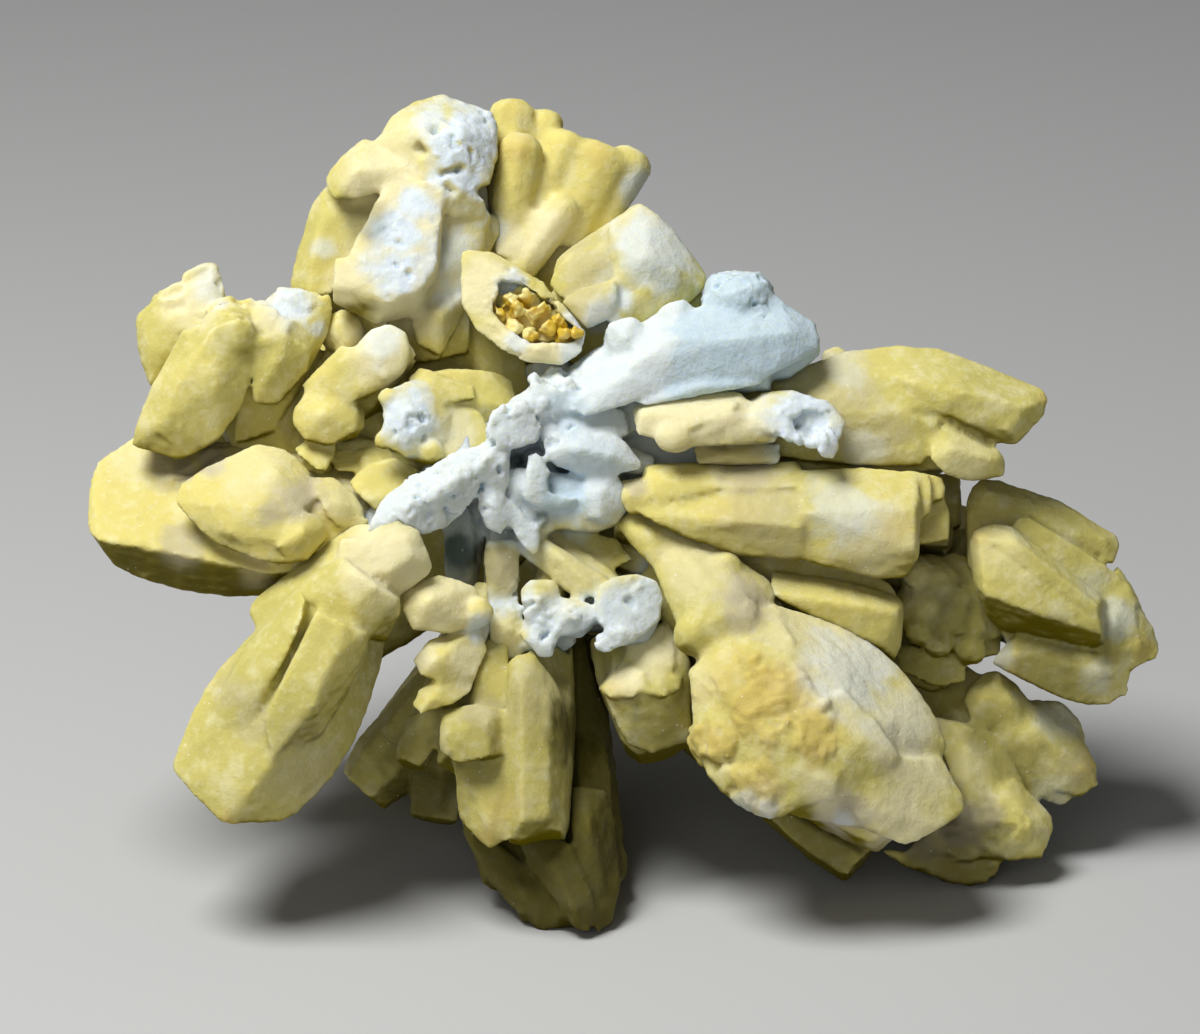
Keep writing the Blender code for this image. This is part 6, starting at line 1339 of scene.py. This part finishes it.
# blocky prisms that hang down below the middle
bottomCentre = {
    "keepNode": True, "root": (-2.6, -4.8, -0.6), "tip": (-3.4, -11.8, 2.8), "warmth": 0.5,
    # painted shade: a little darker all over, and darker deep inside
    "behind": 0.9, "shade": 0.24,
    "deep": [(-6.86, -9.01, 1.6, 0.6), (-6.69, -10.54, 1.8, 0.8), (-0.75, -7.99, 1.4, 0.8),
             (-4.48, -8.5, 1.4, 0.36)],
    "lilac": [(-4.36, -7.08, 0.6, 0.5), (-2.27, -6.8, 1.2, 0.4)],
    "ochre": [(-4.11, -11.94, 0.5, 0.6), (-3.36, -10.82, 0.8, 0.4)],
    "marks": [(-4.48, -9.57, -4.48, -11.57, 0.2, 0.06), (-3.98, -9.57, -3.92, -11.82, 0.2, 0.07)],
    "shapes": [
        block(3.0, (-3.45, -5.42, 2.2), (-3.11, -5.08, 2.2), (-2.52, -5, 2.1), (-1.76, -5.93, 2),
              (-1.39, -6.6, 2), (-1.22, -7.28, 2.1), (-1.25, -10.13, 2.6), (-1.42, -11.13, 2.8),
              (-2, -11.71, 3.2), (-2.92, -12.03, 3.5), (-3.35, -11.95, 3.4), (-3.51, -11.28, 3.4),
              (-3.44, -6.58, 2.8), (-2.91, -11.23, 4.3), (-2.89, -6.4, 3.5), (-1.83, -11.08, 4),
              (-1.83, -6.91, 3.2)),
        block(2.8, (-5.44, -9.21, 2.4), (-3.44, -8.77, 3), (-3.34, -11.94, 3.5), (-4.11, -12.33, 3.2),
              (-4.7, -11.8, 2.9), (-4.79, -11.39, 2.8), (-5.3, -11.15, 2.4), (-5.39, -9.63, 2.4),
              (-4.1, -11.27, 3.6)),
        block(2.8, (-5.89, -7.1, 2.4), (-4.54, -6.89, 2.6), (-3.94, -7, 2.8), (-3.38, -7.27, 2.3),
              (-3.36, -8.78, 2.7), (-4.09, -8.81, 4.1), (-4.34, -8.93, 4.1), (-5.27, -9.16, 3.8),
              (-5.95, -8.67, 3.3), (-5.99, -8.26, 3.1), (-5.61, -7.91, 3.6), (-4.13, -7.57, 3.7)),
        block(2.2, (-4.48, -4.59, 1), (-3.36, -4.35, 1), (-3.41, -6.93, 2.2), (-4.84, -6.93, 2),
              (-4.59, -5.57, 1.9)),
        block(1.8, (-7.63, -8.73, 0.9), (-7.17, -7.43, 0.7), (-5.83, -7.06, 0.9), (-5.96, -8.31, 1.5),
              (-6.64, -9.31, 1.7), (-7.46, -9.1, 1.4))]}

# the bundle that reaches the front foot, painted dark as shade all over
bottomBundle = {
    "keepNode": True, "terrace": 0.05, "root": (-1.6, -6.0, -2.6), "tip": (-1.2, -15.0, 1.6),
    "warmth": 0.55, "behind": 0.7, "shade": 0.88,
    "deep": [(-3.24, -13.93, 2.6, 0.85), (-0.75, -8.95, 1.6, 0.95), (-3.12, -14.1, 1.6, 0.85),
             (0.95, -12.74, 0.8, 0.8)],
    "lilac": [(0.75, -12.56, 0.9, 0.4)], "ochre": [(-0.5, -15.43, 0.8, 0.4)],
    "shapes": [
        block(2.2, (-5.01, -11.17, 0.2), (-5.18, -11.76, 0.2), (-4.74, -12.51, 0.6),
              (-3.97, -12.05, 1.2), (-2.61, -13.14, 1.6), (-1.52, -14.74, 1.7), (-1.46, -15.29, 1.6),
              (-2.19, -15.52, 1.4), (-3.12, -14.77, 1.1), (-4.32, -13.44, 0.7), (-2.77, -14.21, 2)),
        block(2.6, (-3.12, -11.88, 1.4), (-1.76, -11.75, 2.2), (-1.08, -12.16, 2.5),
              (-0.27, -14.01, 2.6), (-0.14, -14.7, 2.4), (-0.37, -15.47, 2.4), (-1, -15.34, 2.4),
              (-1.89, -14.03, 2.2), (-2.61, -13.04, 1.9), (-1.67, -12.98, 2.9), (-0.99, -14.66, 3)),
        block(2.6, (-1.17, -10.03, 0.9), (-0.49, -10.1, 1.2), (0.27, -10.21, 0.6), (0.61, -11.4, 0.6),
              (0.66, -13.09, 0.9), (0.47, -14.08, 1.3), (0.34, -15.25, 1.6), (-0.1, -15.57, 2),
              (-0.49, -14.03, 2.3), (-1.08, -11.84, 2.1), (-0.41, -11.32, 2.4), (0.1, -13.36, 2.1)),
        block(2.0, (0.27, -11.62, -0.3), (0.7, -11.88, -0.5), (1.09, -12.81, -0.4), (0.99, -13.49, -0.2),
              (0.55, -13.94, 0.2), (0.27, -13.12, 0.3))]}

# the hidden back, four plain sprays that carry on the fan
backSpray = {"keepNode": True, "voxel": 0.19, "fan": 3.0, "swell": 0.05, "terrace": 0.05}
backUpper = {**backSpray, "root": (-0.8, 1.9, -6.0), "tip": (-1.0, 9.0, -10.4), "warmth": 0.5}
backLeft = {**backSpray, "root": (-2.6, 0.8, -5.8), "tip": (-12.0, 2.4, -10.0), "warmth": 0.6}
backRight = {**backSpray, "root": (1.0, 0.4, -6.6), "tip": (11.6, -1.2, -11.4), "warmth": 0.5}
backLower = {**backSpray, "root": (-0.6, -0.8, -6.0), "tip": (-0.6, -8.0, -12.8)}

pieces = {
    "stem": stem, "perched_crystal": perchedCrystal, "lower_left_prism": lowerLeftPrism,
    "left_prism": leftPrism, "upper_left_bundle": upperLeftBundle, "left_centre_buds": leftCentreBuds,
    "white_end_prism": whiteEndPrism, "top_left_spray": topLeftSpray, "hollow_pod": hollowPod,
    "pod_lining": podLining, "curved_cluster": curvedCluster, "top_right_fingers": topRightFingers,
    "cream_prism": creamPrism, "upper_right_prism": upperRightPrism,
    "middle_right_prism": middleRightPrism,
    "right_far_bundle": rightFarBundle, "right_lower_bundle": rightLowerBundle,
    "inner_right_prisms": innerRight, "barrel_crystal": barrel, "under_barrel_prisms": underBarrel,
    "bottom_centre_prisms": bottomCentre, "bottom_bundle": bottomBundle, "back_upper_spray": backUpper,
    "back_left_spray": backLeft, "back_right_spray": backRight, "back_lower_spray": backLower,
}
for name, look in pieces.items():
    dress(name, look)

print("crystals dressed")

# the pale floor, the lamps, the camera and the sky

stageLook = {
    "floor": (0.50, 0.50, 0.49), "dull": 0.9, "span": 3.0,
    "sky": 0.08, "skyColour": (0.9, 0.93, 1.0, 1),
    "aim": (0, 0, 0.012),      # what the lamps look at, in metres
}


def makeStage():
    mesh = bmesh.new()
    bmesh.ops.create_grid(mesh, x_segments=1, y_segments=1, size=stageLook["span"])
    data = bpy.data.meshes.new("floor")
    mesh.to_mesh(data)
    mesh.free()
    floor = bpy.data.objects.new("floor", data)
    bpy.context.scene.collection.objects.link(floor)
    finish = Finish("pale floor", stageLook["floor"])
    finish.surface(**{"Base Color": stageLook["floor"], "Roughness": stageLook["dull"]})
    data.materials.append(finish.material)


def makeLamp(name, spot, size, watts):
    lamp = bpy.data.lights.new(name, "AREA")
    lamp.shape = "DISK"
    lamp.size = size
    lamp.energy = watts
    made = bpy.data.objects.new(name, lamp)
    made.location = spot
    aim = Vector(stageLook["aim"]) - Vector(spot)
    made.rotation_euler = aim.to_track_quat("-Z", "Y").to_euler()
    bpy.context.scene.collection.objects.link(made)


def makeCamera():
    view = {"lens": 200, "sensor": 36, "distance": 0.25, "elevation": 20}
    data = bpy.data.cameras.new("camera")
    data.lens = view["lens"]
    data.sensor_width = view["sensor"]
    data.clip_start = 0.01
    camera = bpy.data.objects.new("camera", data)
    tilt = math.radians(view["elevation"])
    away = Vector((0, -math.cos(tilt), math.sin(tilt))) * view["distance"]
    camera.location = place(0, 0, 0) + away
    camera.rotation_euler = (-away).to_track_quat("-Z", "Y").to_euler()
    bpy.context.scene.collection.objects.link(camera)
    bpy.context.scene.camera = camera


makeStage()
makeLamp("softbox above", (-0.068, -0.052, 0.195), 0.10, 0.50)
makeLamp("fill from the front", (-0.10, -0.42, 0.16), 0.30, 0.29)
makeCamera()
scene = bpy.context.scene
scene.view_settings.view_transform = "Standard"
world = bpy.data.worlds.new("studio")
world.use_nodes = True
sky = world.node_tree.nodes["Background"]
sky.inputs["Color"].default_value = stageLook["skyColour"]
sky.inputs["Strength"].default_value = stageLook["sky"]
scene.world = world
